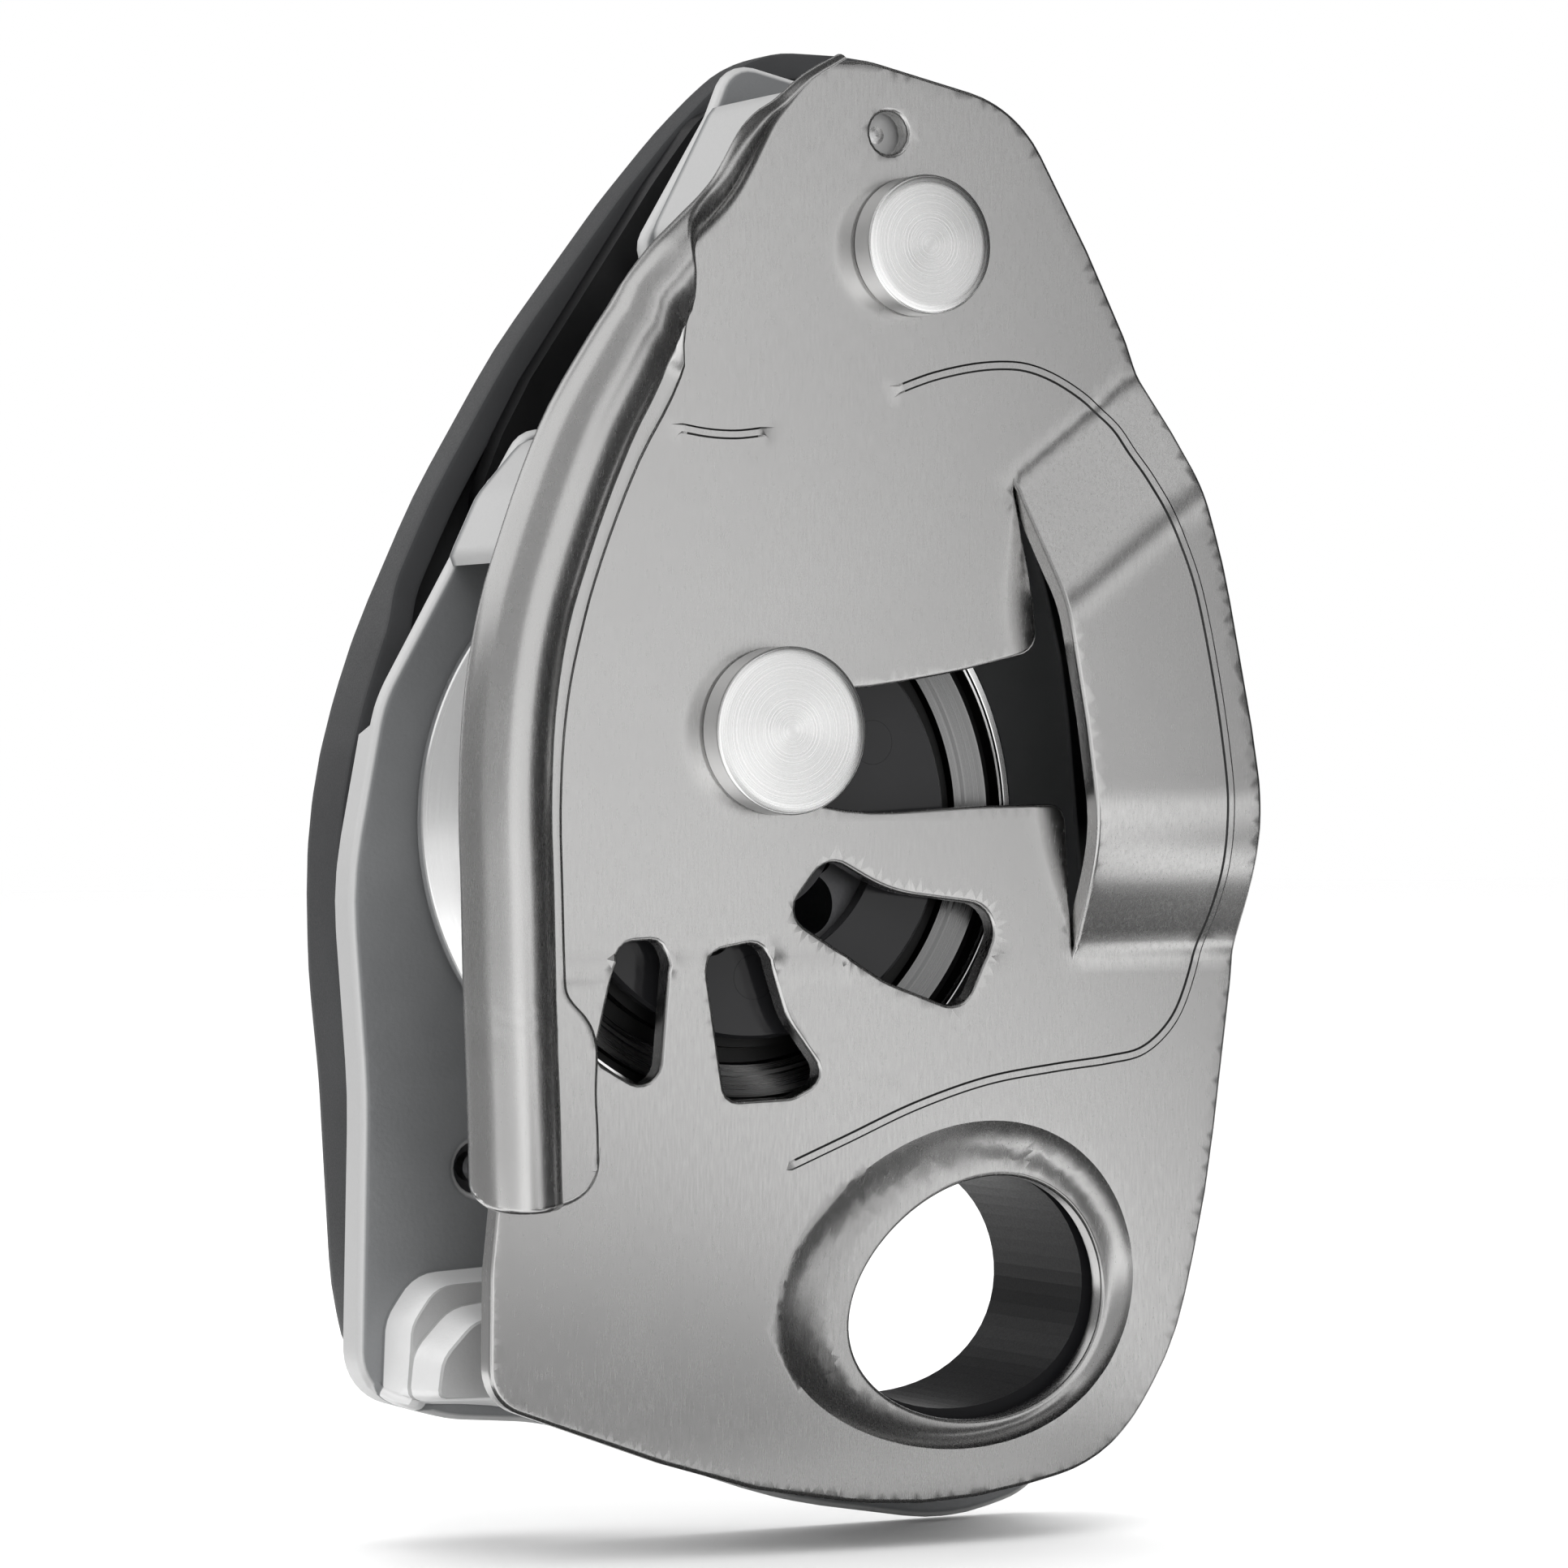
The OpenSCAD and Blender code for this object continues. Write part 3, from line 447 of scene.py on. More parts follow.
# %% [markdown]
# ## Finishes
# All finishes are built from a few noises that are laid in the object's own millimetres,
# so that grain and brushing have their real size on a piece that is 13 centimetres tall.
# Pictures of real metal could do it too, but noise has no seams and follows any shape.
# These helpers lay the noises, and after them comes one short function for each kind.

# %% Node helpers


def new_finish(name):
    """A new material with its node tree and its shader."""
    mat = bpy.data.materials.new(name)
    mat.use_nodes = True
    tree = mat.node_tree
    bsdf = tree.nodes["Principled BSDF"]
    return mat, tree, bsdf


def add(tree, kind, **values):
    """A new node; each value is given to the input of that name, or else to the node itself."""
    n = tree.nodes.new(kind)
    for key, value in values.items():
        if key in n.inputs:
            n.inputs[key].default_value = value
        else:
            setattr(n, key, value)
    return n


# %% [markdown]
# ### Noise, and what is done with it
# A noise has values about one half, everywhere in space. The same noise may be spread over
# another range to vary the roughness, tinted to cloud a colour, or used as heights. Painted
# maps could do all three, but they would need the pieces unwrapped first.

# %% Noise in millimetres


def place_noise(tree, stretch, scale, detail=3.0, rough=0.6):
    """Noise in object space: scale is in waves a millimetre, stretch shapes it on each axis."""
    coord = add(tree, "ShaderNodeTexCoord")
    mapping = add(tree, "ShaderNodeMapping", Scale=tuple(1000.0 * scale * s for s in stretch))
    tree.links.new(coord.outputs["Object"], mapping.inputs["Vector"])
    noise = add(tree, "ShaderNodeTexNoise", Scale=1.0, Detail=detail, Roughness=rough)
    tree.links.new(mapping.outputs["Vector"], noise.inputs["Vector"])
    return noise.outputs["Fac"]


def spread(tree, value, low, high, start=0.3, end=0.7):
    """Maps a noise from start..end to low..high."""
    m = add(tree, "ShaderNodeMapRange")
    m.inputs["From Min"].default_value, m.inputs["From Max"].default_value = start, end
    m.inputs["To Min"].default_value, m.inputs["To Max"].default_value = low, high
    tree.links.new(value, m.inputs["Value"])
    return m.outputs["Result"]


def tint(tree, value, dark, light):
    """A colour between dark and light, picked by a value from 0 to 1."""
    ramp = add(tree, "ShaderNodeValToRGB")
    ramp.color_ramp.elements[0].color = (*dark, 1)
    ramp.color_ramp.elements[1].color = (*light, 1)
    tree.links.new(value, ramp.inputs["Fac"])
    return ramp.outputs["Color"]


def bumps(tree, bsdf, layers):
    """Chain of bumps: each layer is a height and its depth in millimetres."""
    last = None
    for height, depth in layers:
        b = add(tree, "ShaderNodeBump", Strength=1.0, Distance=depth * 0.001)
        tree.links.new(height, b.inputs["Height"])
        if last:
            tree.links.new(last, b.inputs["Normal"])
        last = b.outputs["Normal"]
    tree.links.new(last, bsdf.inputs["Normal"])


# %% [markdown]
# ### Satin sheet and forged metal
# The moving plate is pressed from sheet and has a fine, even satin with a faint vertical
# grain. The fixed plate is forged and bead-blasted, which leaves small round dimples and a
# duller face. One function makes both, and all the plain metals too: a wide noise clouds
# the colour, a fine one varies the roughness, and dimples are a second layer of bump.

# %% Metal finishes
CLOUD_SCALE = 0.035     # waves a millimetre


def metal(name, dark, light, rough, grain=(1, 1, 1), grain_scale=3.0, depth=0.004,
          blotch=0.04, dimples=0.0, dimple_scale=2.2):
    """Metal whose roughness lies between two values; depth and dimples are in millimetres."""
    mat, tree, bsdf = new_finish(name)
    bsdf.inputs["Metallic"].default_value = 1.0
    cloud = place_noise(tree, (1, 1, 1), CLOUD_SCALE, 4.0)
    fine = place_noise(tree, grain, grain_scale, 4.0, 0.7)
    tree.links.new(tint(tree, spread(tree, cloud, 0.0, 1.0), dark, light), bsdf.inputs["Base Color"])
    mixed = add(tree, "ShaderNodeMath", operation="ADD")
    tree.links.new(spread(tree, fine, rough[0], rough[1]), mixed.inputs[0])
    tree.links.new(spread(tree, cloud, -blotch, blotch), mixed.inputs[1])
    tree.links.new(mixed.outputs[0], bsdf.inputs["Roughness"])
    layers = [(fine, depth)]
    if dimples:
        layers.append((place_noise(tree, (1, 1, 1), dimple_scale, 2.0, 0.5), dimples))
    bumps(tree, bsdf, layers)
    return mat


satin_plate = metal("satin_plate", (0.52, 0.516, 0.512), (0.58, 0.576, 0.572), (0.22, 0.29),
                    grain=(1, 1, 0.12), grain_scale=5.0, depth=0.0006, blotch=0.02)
forged = metal("forged_blasted", (0.20, 0.205, 0.21), (0.27, 0.275, 0.28), (0.42, 0.58),
               grain_scale=4.0, depth=0.006, dimples=0.02)
print("finishes:", satin_plate.name, forged.name)

# %% [markdown]
# ### Painted light and shade on the forged plate
# The steps of the fixed plate are told apart by their shade: the tops of the terraces are
# darker than their steep sides, and inside the slot it is almost black. Light alone could do
# this in a real studio. Here that light and shade are painted over the finish by depth and
# height, with a painted highlight on the rim's edge and the risen parts painted lighter, and
# the plate is only half metallic, so that they hold from every side.

# %% Shades by place


def band(tree, axis, start, end):
    """0 before start and 1 after end along one axis, in millimetres from the cam axle."""
    shift = {"X": EYE_X, "Y": 0.0, "Z": EYE_Z}[axis]
    coord = add(tree, "ShaderNodeTexCoord")
    parts = add(tree, "ShaderNodeSeparateXYZ")
    tree.links.new(coord.outputs["Object"], parts.inputs[0])
    return spread(tree, parts.outputs[axis], 0.0, 1.0, (start - shift) * 0.001, (end - shift) * 0.001)


def repaint(mat, colour, *masks):
    """Lays another colour over a finish where all the masks are 1."""
    tree = mat.node_tree
    slot = tree.nodes["Principled BSDF"].inputs["Base Color"]
    before = slot.links[0].from_socket
    mask = masks[0]
    for other in masks[1:]:
        both = add(tree, "ShaderNodeMath", operation="MULTIPLY")
        tree.links.new(mask, both.inputs[0])
        tree.links.new(other, both.inputs[1])
        mask = both.outputs[0]
    mix = add(tree, "ShaderNodeMix", data_type="RGBA")
    tree.links.new(mask, mix.inputs["Factor"])
    tree.links.new(before, mix.inputs[6])
    mix.inputs[7].default_value = (*colour, 1)
    tree.links.new(mix.outputs[2], slot)


# %% Painted light and shade on the steps
# painted light and shade: rim highlight, lit risen parts, lit step sides, shaded step tops, shadow in the
# slot
PAINTED_RIM_HIGHLIGHT, PAINTED_RISEN_LIGHT, PAINTED_STEP_TOP_SHADE, PAINTED_STEP_SIDE_LIGHT, PAINTED_SLOT_SHADOW = 0.62, 0.55, 0.48, 0.85, 0.003
SOFTEN = 0.05           # a shade changes over twice this depth
shaded = forged.node_tree
forged_look = shaded.nodes["Principled BSDF"].inputs
forged_look["Metallic"].default_value = 0.5
forged_look["Specular IOR Level"].default_value = 0.1
risen = band(shaded, "Y", 15.9, 15.2)
# painted highlight along the rounded rim of the floor's edge
repaint(forged, (PAINTED_RIM_HIGHLIGHT,) * 3, band(shaded, "Y", 16.04, 16.16))
# painted light: the risen boss, shoulder and wall are lighter, as if lit from the left
repaint(forged, (PAINTED_RISEN_LIGHT,) * 3, risen, band(shaded, "Z", -21.0, -19.0))
# painted light and shade: the steep step sides are lighter and the step tops darker
for low, high, shade in ((12.3, 15.7, PAINTED_STEP_SIDE_LIGHT), (11.8, 12.3, PAINTED_STEP_TOP_SHADE), (7.9, 11.8, PAINTED_STEP_SIDE_LIGHT),
                         (5.0, 7.9, PAINTED_STEP_TOP_SHADE)):
    repaint(forged, (shade,) * 3, band(shaded, "Y", high + SOFTEN, high - SOFTEN),
            band(shaded, "Y", low - SOFTEN, low + SOFTEN), band(shaded, "Z", -30.0, -31.0))
# painted shadow: the wall behind the wheel, seen through the slot, is nearly black
repaint(forged, (PAINTED_SLOT_SHADOW,) * 3, risen, band(shaded, "X", 28.6, 29.4), band(shaded, "Z", -28.0, -8.0))
print(forged.name, "nodes:", len(shaded.nodes))

# %% [markdown]
# ### The other plain metals
# Inside are wear-resistant steels, a sintered bronze for the bushes and a bright spring
# wire. Two nearly black finishes are painted shade for the narrow places that keep no
# light: the flanks of the raised lines, and the recesses that are turned into the wheel.

# %% Steels, bronze and painted shade for the recesses
# painted shade: a nearly black finish for the flanks of the raised lines
painted_line_shade = metal("painted_shade_line_flanks", (0.035,) * 3, (0.055,) * 3, (0.4, 0.5), depth=0.0006)
# painted shade: a nearly black finish for the wheel's turned recesses
painted_wheel_shade = metal("wheel_recess_painted_shade", (0.020,) * 3, (0.030,) * 3, (0.4, 0.5), depth=0.001)
wear_steel = metal("wear_steel", (0.52,) * 3, (0.62,) * 3, (0.20, 0.32), depth=0.002)
cam_steel = metal("cam_steel", (0.12, 0.12, 0.125), (0.18, 0.18, 0.185), (0.42, 0.55),
                  depth=0.006, dimples=0.02)
lever_steel = metal("lever_steel", (0.035, 0.035, 0.037), (0.06, 0.06, 0.062), (0.36, 0.5),
                    grain=(1, 8, 1), depth=0.006)
bronze = metal("sintered_bronze", (0.34, 0.22, 0.11), (0.42, 0.29, 0.15), (0.45, 0.6),
               depth=0.004, dimples=0.01)
spring_steel = metal("spring_wire", (0.28, 0.28, 0.29), (0.36, 0.36, 0.37), (0.25, 0.35))
print("materials so far:", len(bpy.data.materials))

# %% [markdown]
# ### Turned heads
# A lathe tool leaves fine rings, and light is drawn across them into a bright cone. The
# rings could be modelled, but they are finer than any mesh, so they are a noise of the
# distance from the head's middle, and an anisotropic highlight that runs round the same
# axis draws the cone.

# %% Turned metal


def turned_metal(name, colour, rough, pitch=0.16, depth=0.0012, pull=0.55):
    """Metal with tool rings a pitch apart, in millimetres; pull draws the highlight out."""
    mat, tree, bsdf = new_finish(name)
    bsdf.inputs["Metallic"].default_value = 1.0
    bsdf.inputs["Base Color"].default_value = (*colour, 1)
    bsdf.inputs["Anisotropic"].default_value = pull
    coord = add(tree, "ShaderNodeTexCoord")
    flat = add(tree, "ShaderNodeVectorMath", operation="MULTIPLY")
    flat.inputs[1].default_value = (1000.0, 0.0, 1000.0)
    tree.links.new(coord.outputs["Object"], flat.inputs[0])
    distance = add(tree, "ShaderNodeVectorMath", operation="LENGTH")
    tree.links.new(flat.outputs["Vector"], distance.inputs[0])
    ring_noise = add(tree, "ShaderNodeTexNoise", noise_dimensions="1D", Scale=1.0 / pitch,
                     Detail=4.0, Roughness=0.75)
    tree.links.new(distance.outputs["Value"], ring_noise.inputs["W"])
    tree.links.new(spread(tree, ring_noise.outputs["Fac"], rough[0], rough[1]), bsdf.inputs["Roughness"])
    tangent = add(tree, "ShaderNodeTangent", direction_type="RADIAL", axis="Y")
    tree.links.new(tangent.outputs["Tangent"], bsdf.inputs["Tangent"])
    bumps(tree, bsdf, [(ring_noise.outputs["Fac"], depth)])
    return mat


rivet_metal = turned_metal("turned_rivet", (0.93, 0.93, 0.925), (0.22, 0.36))
wheel_metal = turned_metal("turned_wheel", (0.93, 0.93, 0.93), (0.18, 0.28), 0.22, 0.0010, 0.3)
wheel_brushed = turned_metal("brushed_wheel", (0.20, 0.20, 0.20), (0.16, 0.40), 0.30, 0.0060, 0.4)
print("turned finishes:", rivet_metal.name, wheel_metal.name, wheel_brushed.name)

# %% [markdown]
# ### Plastics
# The handle is charcoal nylon with a fine spark-eroded grain, the sleeve in the attachment
# hole is plain black, and the cover disc is a smooth, glossy black that mirrors the edge of
# the slot. One function does for all three, because they differ only in grain and shine.

# %% Plastic finishes


def plastic(name, dark, light, rough, grain_scale=4.0, depth=0.01, shine=0.3):
    """Plastic with a moulded grain of a depth in millimetres."""
    mat, tree, bsdf = new_finish(name)
    cloud = place_noise(tree, (1, 1, 1), 0.05, 4.0)
    fine = place_noise(tree, (1, 1, 1), grain_scale, 3.0, 0.6)
    tree.links.new(tint(tree, spread(tree, cloud, 0.0, 1.0), dark, light), bsdf.inputs["Base Color"])
    tree.links.new(spread(tree, fine, rough[0], rough[1]), bsdf.inputs["Roughness"])
    bsdf.inputs["Specular IOR Level"].default_value = shine
    bumps(tree, bsdf, [(fine, depth)])
    return mat


nylon = plastic("charcoal_nylon", (0.034, 0.0345, 0.036), (0.046, 0.047, 0.049), (0.42, 0.60),
                6.0, 0.012)
sleeve_black = plastic("sleeve_black", (0.006, 0.006, 0.007), (0.010, 0.010, 0.011), (0.35, 0.5),
                       5.0, 0.006, 0.15)
cover_black = plastic("cover_black", (0.010, 0.010, 0.011), (0.014, 0.014, 0.015), (0.10, 0.16),
                      3.0, 0.0006, 0.35)
print("plastics:", nylon.name, sleeve_black.name, cover_black.name)

# %% [markdown]
# ## The moving plate
# Its outline, vents and slot are drawn from corners. On the right the sheet is cut along a
# line and pressed forwards into a bridge, under which the axle's head passes when the plate
# swings open. One hole stands for slot and cut together: its left side is the flat plate's
# edge and its right side is the bridge's edge. Holes could be cut with booleans, but as
# loops of the same outline their edges get the same rounding as the plate's.

# %% Route of the rolled edge, and the plate's outline
SHEET = 2.0
MARGIN = 0.5            # how far the flat sheet reaches beyond the roll's route
FIRST_OF_MARGIN = 15    # the rounded lower end stands for the route's points before this one
guide_route = spline([
    # x, z, turn of the roll in degrees, flange length
    [-25.05, -40.0, 270, 3.6], [-25.07, -39.6, 270, 3.6], [-25.1, -38.9, 270, 3.6],
    [-25.15, -37.5, 270, 3.6], [-25.2, -35.9, 270, 3.6], [-25.25, -33.5, 270, 3.6],
    [-25.35, -30.5, 270, 3.55], [-25.5, -27.1, 270, 3.8], [-25.55, -25.4, 270, 3.5],
    [-25.6, -24.2, 270, 2.8], [-25.65, -23.2, 270, 1.9], [-25.7, -22.0, 270, 1.2],
    [-25.75, -20.0, 270, 1.05], [-25.9, -13.3, 270, 1.0], [-26.1, -6.8, 270, 1.05],
    [-25.9, -0.4, 270, 1.15], [-25.3, 4.8, 270, 1.25], [-24.3, 9.7, 270, 1.4],
    [-22.9, 14.1, 270, 1.3], [-20.8, 19.8, 270, 1.35], [-18.4, 25.1, 270, 1.4],
    [-14.9, 30.7, 270, 1.6], [-13.3, 33.0, 264, 1.4], [-11.4, 35.9, 224, 0.0],
    [-9.9, 38.0, 182, 0.0], [-8.7, 39.4, 142, 0.0], [-7.2, 41.0, 108, 0.0],
    [-5.5, 42.7, 92, 0.0], [-3.9, 44.6, 84, 0.0], [-2.5, 46.9, 74, 0.0], [-1.3, 49.3, 56, 0.0],
    [-0.3, 51.3, 34, 0.0], [0.9, 52.9, 15, 0.0], [3.2, 55.4, 5, 0.0], [6.4, 57.4, 1, 0.0]], 3)
along_route = np.gradient(guide_route[:, :2], axis=0)
along_route /= np.linalg.norm(along_route, axis=1, keepdims=True)
left_margin = guide_route[:, :2] + MARGIN * np.stack([-along_route[:, 1], along_route[:, 0]], 1)
free_outline = rounded([
    [8.6, 57.6, 6], [23.8, 54.3, 11], [35.2, 34.6, 80], [41.6, 14.6, 60], [45.4, -4.0, 60],
    [46.1, -18.5, 40], [43.2, -40.5, 100], [39.9, -53.8, 25], [33.4, -63.6, 20], [17.0, -67.0, 60],
    [-2.0, -64.9, 80], [-26.9, -55.9, 4], [-26.8, -45.0, 10], [-26.0, -37.5, 3],
    [-20.0, -10.0, 0.1], [5.4, 57.0, 0.1]], 2)
plate_outline = np.vstack([free_outline, left_margin[FIRST_OF_MARGIN:-1]])
print("moving plate:", np.ptp(plate_outline, axis=0).round(1), "mm, in", len(plate_outline), "points")

# %% Vents and slot
vents = [
    rounded([[-11.0, -17.6, 2], [-10.2, -19.4, 1.2], [-11.2, -31.0, 2], [-17.2, -27.6, 1.4],
             [-14.8, -17.8, 1.6]]),
    rounded([[-6.8, -18.8, 1.6], [-1.2, -17.8, 1.8], [1.0, -24.4, 6], [5.0, -29.6, 1.6],
             [1.6, -31.2, 1.6], [-4.8, -31.4, 1.4]]),
    rounded([[1.0, -15.6, 1.8], [5.0, -10.6, 2.2], [11.0, -13.8, 14], [22.6, -15.2, 2.6],
             [18.4, -24.2, 2.4], [10.6, -21.4, 10]])]
slot_and_cut = rounded([
    [-5.2, 0.0, 4.9], [-5.2, 3.9, 4.9], [1.0, 3.2, 20], [9.0, 3.7, 60], [18.0, 5.2, 60],
    [25.9, 7.1, 2.0], [25.3, 12.6, 30], [23.3, 21.4, 0.1], [23.42, 21.5, 0.1],
    [25.5, 11.6, 40], [27.5, 1.0, 40], [28.8, -8.0, 40], [29.42, -19.2, 0.1],
    [29.3, -19.25, 0.1], [28.9, -12.0, 30], [28.6, -6.2, 1.6], [20.0, -6.4, 60],
    [8.0, -7.1, 60], [0.0, -5.4, 10], [-5.2, -4.6, 4.6]])
print("vents of", [round(abs(area(vent))) for vent in vents], "square mm")

# %% [markdown]
# ### Egg shapes
# The attachment hole, its sleeve and the dish round it are eggs: fuller at one end, so that
# a carabiner turns freely in them. A list of points could follow them, but an ellipse whose
# one axis grows along the other needs five numbers, and also tells inside from outside.

# %% Eggs and rings
SLEEVE_EGG = ((20.6, -49.2), 12.2, 9.8, 24, 0.16)
HOLE_EGG = ((20.55, -49.5), 12.75, 10.35, 15, 0.12)
DISH_EGG = ((17.7, -48.2), 17.8, 13.9, 11, 0.13)


def egg(shape, grow=0.0, count=96):
    """An egg outline: centre, two half axes, turn in degrees and how much one end is fuller."""
    centre, a, b, turn, full = shape
    t, turn = np.arange(count) * 2 * math.pi / count, math.radians(turn)
    u, v = (a + grow) * np.cos(t), (b + grow) * np.sin(t) * (1 + full * np.cos(t))
    return np.stack([centre[0] + u * math.cos(turn) - v * math.sin(turn),
                     centre[1] + u * math.sin(turn) + v * math.cos(turn)], 1)


def egg_ratio(x, z, shape):
    """1 on the egg outline, less inside it and more outside."""
    centre, a, b, turn, full = shape
    turn = math.radians(turn)
    dx, dz = x - centre[0], z - centre[1]
    u, v = dx * math.cos(turn) + dz * math.sin(turn), -dx * math.sin(turn) + dz * math.cos(turn)
    return np.sqrt((u / a) ** 2 + (v / (b * (1 + full * np.clip(u / a, -1, 1)))) ** 2)


def ring(centre, radius, count=48):
    """A round hole's outline."""
    t = np.arange(count) * 2 * math.pi / count
    return np.array(centre) + radius * np.stack([np.cos(t), np.sin(t)], 1)


PIVOT = np.array([13.4, 41.7])
DETENT = np.array([11.0, 51.4])
print("attachment hole:", np.ptp(egg(SLEEVE_EGG), axis=0).round(1), "mm")

# %% [markdown]
# ### Heights of the moving plate
# Three things lift or lower the sheet: the bridge with its two ramps, the dish round the
# attachment hole, and the raised line that shows the rope's way. They could be sculpted,
# but as plain functions of the place on the plate each has its size in millimetres.

# %% Places of the bridge and the raised lines
BRIDGE, DISH = 5.4, 1.6
RAMP_TOP, RAMP_BOTTOM = 10.0, 9.8
crease_top = np.array([[23.1, 21.6], [37.0, 32.2]])
crease_bottom = np.array([[29.4, -19.2], [47.0, -18.9]])
cut_line = np.array([[23.36, 21.6], [25.45, 11.6], [27.45, 1.0], [28.75, -8.0], [29.36, -19.2]])
rope_line = spline([
    [11.9, 29.4], [15.3, 30.6], [19.3, 31.5], [22.6, 31.8], [25.0, 31.6], [27.5, 30.8], [30.0, 29.5],
    [31.6, 28.3], [33.0, 26.6], [33.9, 24.5], [34.8, 22.6], [35.6, 20.5], [36.5, 18.2],
    [38.8, 12.6], [40.7, 4.4], [41.9, -3.0], [42.3, -8.0], [42.6, -13.0], [42.4, -17.0],
    [41.4, -21.3], [39.6, -25.2], [36.6, -27.8], [33.0, -28.6], [27.5, -29.2], [20.6, -30.2],
    [13.6, -32.2], [7.0, -34.8], [1.4, -37.0]], 8)
short_line = spline([[-9.0, 25.5], [-6.4, 25.15], [-3.8, 25.1], [-1.3, 25.4]], 8)
LINE_WIDTH, LINE_HEIGHT, LINE_FLANK = 0.42, 0.12, 0.17     # half the width, height, sloping side
print("bridge", BRIDGE, "mm high, dish", DISH, "mm deep, raised lines", LINE_HEIGHT, "mm")

# %% Bridge and dish
TOP_ROUND, BOTTOM_ROUND = (0.08, 0.2), (0.1, 0.45)      # how far each ramp is eased, foot and head
DISH_FOOT, DISH_RIM = 11.0, 15.0                        # pull of the hole and of the outer edge
DISH_FLAT, DISH_CURVE = 0.06, 2.3


def eased(t, foot=0.10, head=0.20):
    """0 below 0, 1 above 1, straight between, and rounded over at its foot and its head."""
    t = np.asarray(t, float)
    low = np.where(t < -foot, 0, np.where(t < foot, (t + foot) ** 2 / (4 * foot), t))
    u = 1 - t
    high = np.where(u < -head, 0, np.where(u < head, (u + head) ** 2 / (4 * head), u))
    return np.where(t < 0.5, low, 1 - high)


def lift(x, z):
    """Share of the bridge's height at a place on the plate."""
    p = np.stack([x, z], 1)
    v = unit(crease_top[1] - crease_top[0])
    down = (p - crease_top[0]) @ np.array([v[1], -v[0]])
    w = unit(crease_bottom[1] - crease_bottom[0])
    up = (p - crease_bottom[0]) @ np.array([-w[1], w[0]])
    cut_x = np.interp(-z, -cut_line[:, 1], cut_line[:, 0])
    right = (x > cut_x) | (z > cut_line[0, 1]) | (z < cut_line[-1, 1])
    share = np.minimum(eased(down / RAMP_TOP, *TOP_ROUND), eased(up / RAMP_BOTTOM, *BOTTOM_ROUND))
    return np.where(right, share, 0.0)


def dish(x, z):
    """Depth of the pressed dish: almost flat at the hole, then steeper up to a crisp outer edge."""
    inner = np.maximum(egg_ratio(x, z, HOLE_EGG) - 1, 0) * DISH_FOOT
    outer = np.maximum(1 - egg_ratio(x, z, DISH_EGG), 0) * DISH_RIM
    t = np.where(outer > 0, inner / np.maximum(inner + outer, 1e-6), 1.0)
    return DISH * (1 - np.clip((t - DISH_FLAT) / (1 - DISH_FLAT), 0, 1) ** DISH_CURVE)


print("lift at the bridge's middle:", lift(np.array([35.0]), np.array([0.0])))

# %% Front and back of the sheet
STEEPEST = 1.25


def off_lines(x, z):
    """Distance from the nearer one of the two raised lines."""
    p = np.stack([x, z], 1)
    return np.minimum(nearest(p, rope_line, False), nearest(p, short_line, False))


def raised(x, z):
    """Height of the raised lines."""
    return LINE_HEIGHT * np.clip((LINE_WIDTH - off_lines(x, z)) / LINE_FLANK, 0, 1)


def pressed(x, z):
    """Depth of the sheet's front, without the raised lines."""
    return dish(x, z) - BRIDGE * lift(x, z)


def plate_front(x, z):
    """Depth of the sheet's front; forwards is negative."""
    return pressed(x, z) - raised(x, z)


def plate_back(x, z, h=0.05):
    """The sheet keeps its thickness on a slope, so the back stands a little further off there."""
    gx = (pressed(x + h, z) - pressed(x - h, z)) / (2 * h)
    gz = (pressed(x, z + h) - pressed(x, z - h)) / (2 * h)
    steep = np.minimum(np.sqrt(1 + gx ** 2 + gz ** 2), STEEPEST)
    return pressed(x, z) + SHEET * steep


print("height of the bridge's middle:", plate_front(np.array([35.0]), np.array([0.0])).round(2))

# %% [markdown]
# ### The sheet itself
# A height shows only where the mesh has an edge along it, so the flanks of the raised lines
# and a few rings of the dish go in as lines that the triangles have to keep.

# %% Moving plate


def parallel(line, d):
    """An open line moved sideways by d."""
    v = np.gradient(line, axis=0)
    v /= np.linalg.norm(v, axis=1, keepdims=True)
    return line + d * np.stack([-v[:, 1], v[:, 0]], 1)


raised_lines = []
for line in (resampled(rope_line, 0.5, False), resampled(short_line, 0.5, False)):
    raised_lines += [parallel(line, d) for d in (-LINE_WIDTH, -LINE_WIDTH + LINE_FLANK,
                                                 LINE_WIDTH - LINE_FLANK, LINE_WIDTH)]
dish_rings = []
for share in (0.02, 0.25, 0.5, 0.75, 0.9, 1.0):
    loop = (1 - share) * egg(HOLE_EGG, 0.5) + share * egg(DISH_EGG)
    dish_rings.append(resampled(np.vstack([loop, loop[:1]]), 0.8, False))

points, faces = plate_mesh(
    plate_outline, [egg(HOLE_EGG), *vents, slot_and_cut, ring(PIVOT, 4.3), ring(DETENT, 1.85, 32)],
    plate_front, plate_back, 0.35, grid=1.1, lines=raised_lines + dish_rings, step=0.7)
side_plate = piece("side_plate_sheet", points, faces, satin_plate, "side_plate",
                   ("moving_plate",), crisp=29)


def painted_shade_line_flanks(x, y, z):
    """Chooses the sloping sides of the raised lines, but not their ends, for their painted shade."""
    near = off_lines(x, z)
    ends = np.min([np.hypot(x - e[0], z - e[1]) for line in (rope_line, short_line)
                   for e in (line[0], line[-1])], axis=0)
    return (near > LINE_WIDTH - LINE_FLANK) & (near < LINE_WIDTH) & (y < 0.5) & (ends > 0.5)


# the flanks of the raised lines get the nearly black finish as painted shade
second_finish(side_plate, painted_line_shade, painted_shade_line_flanks)

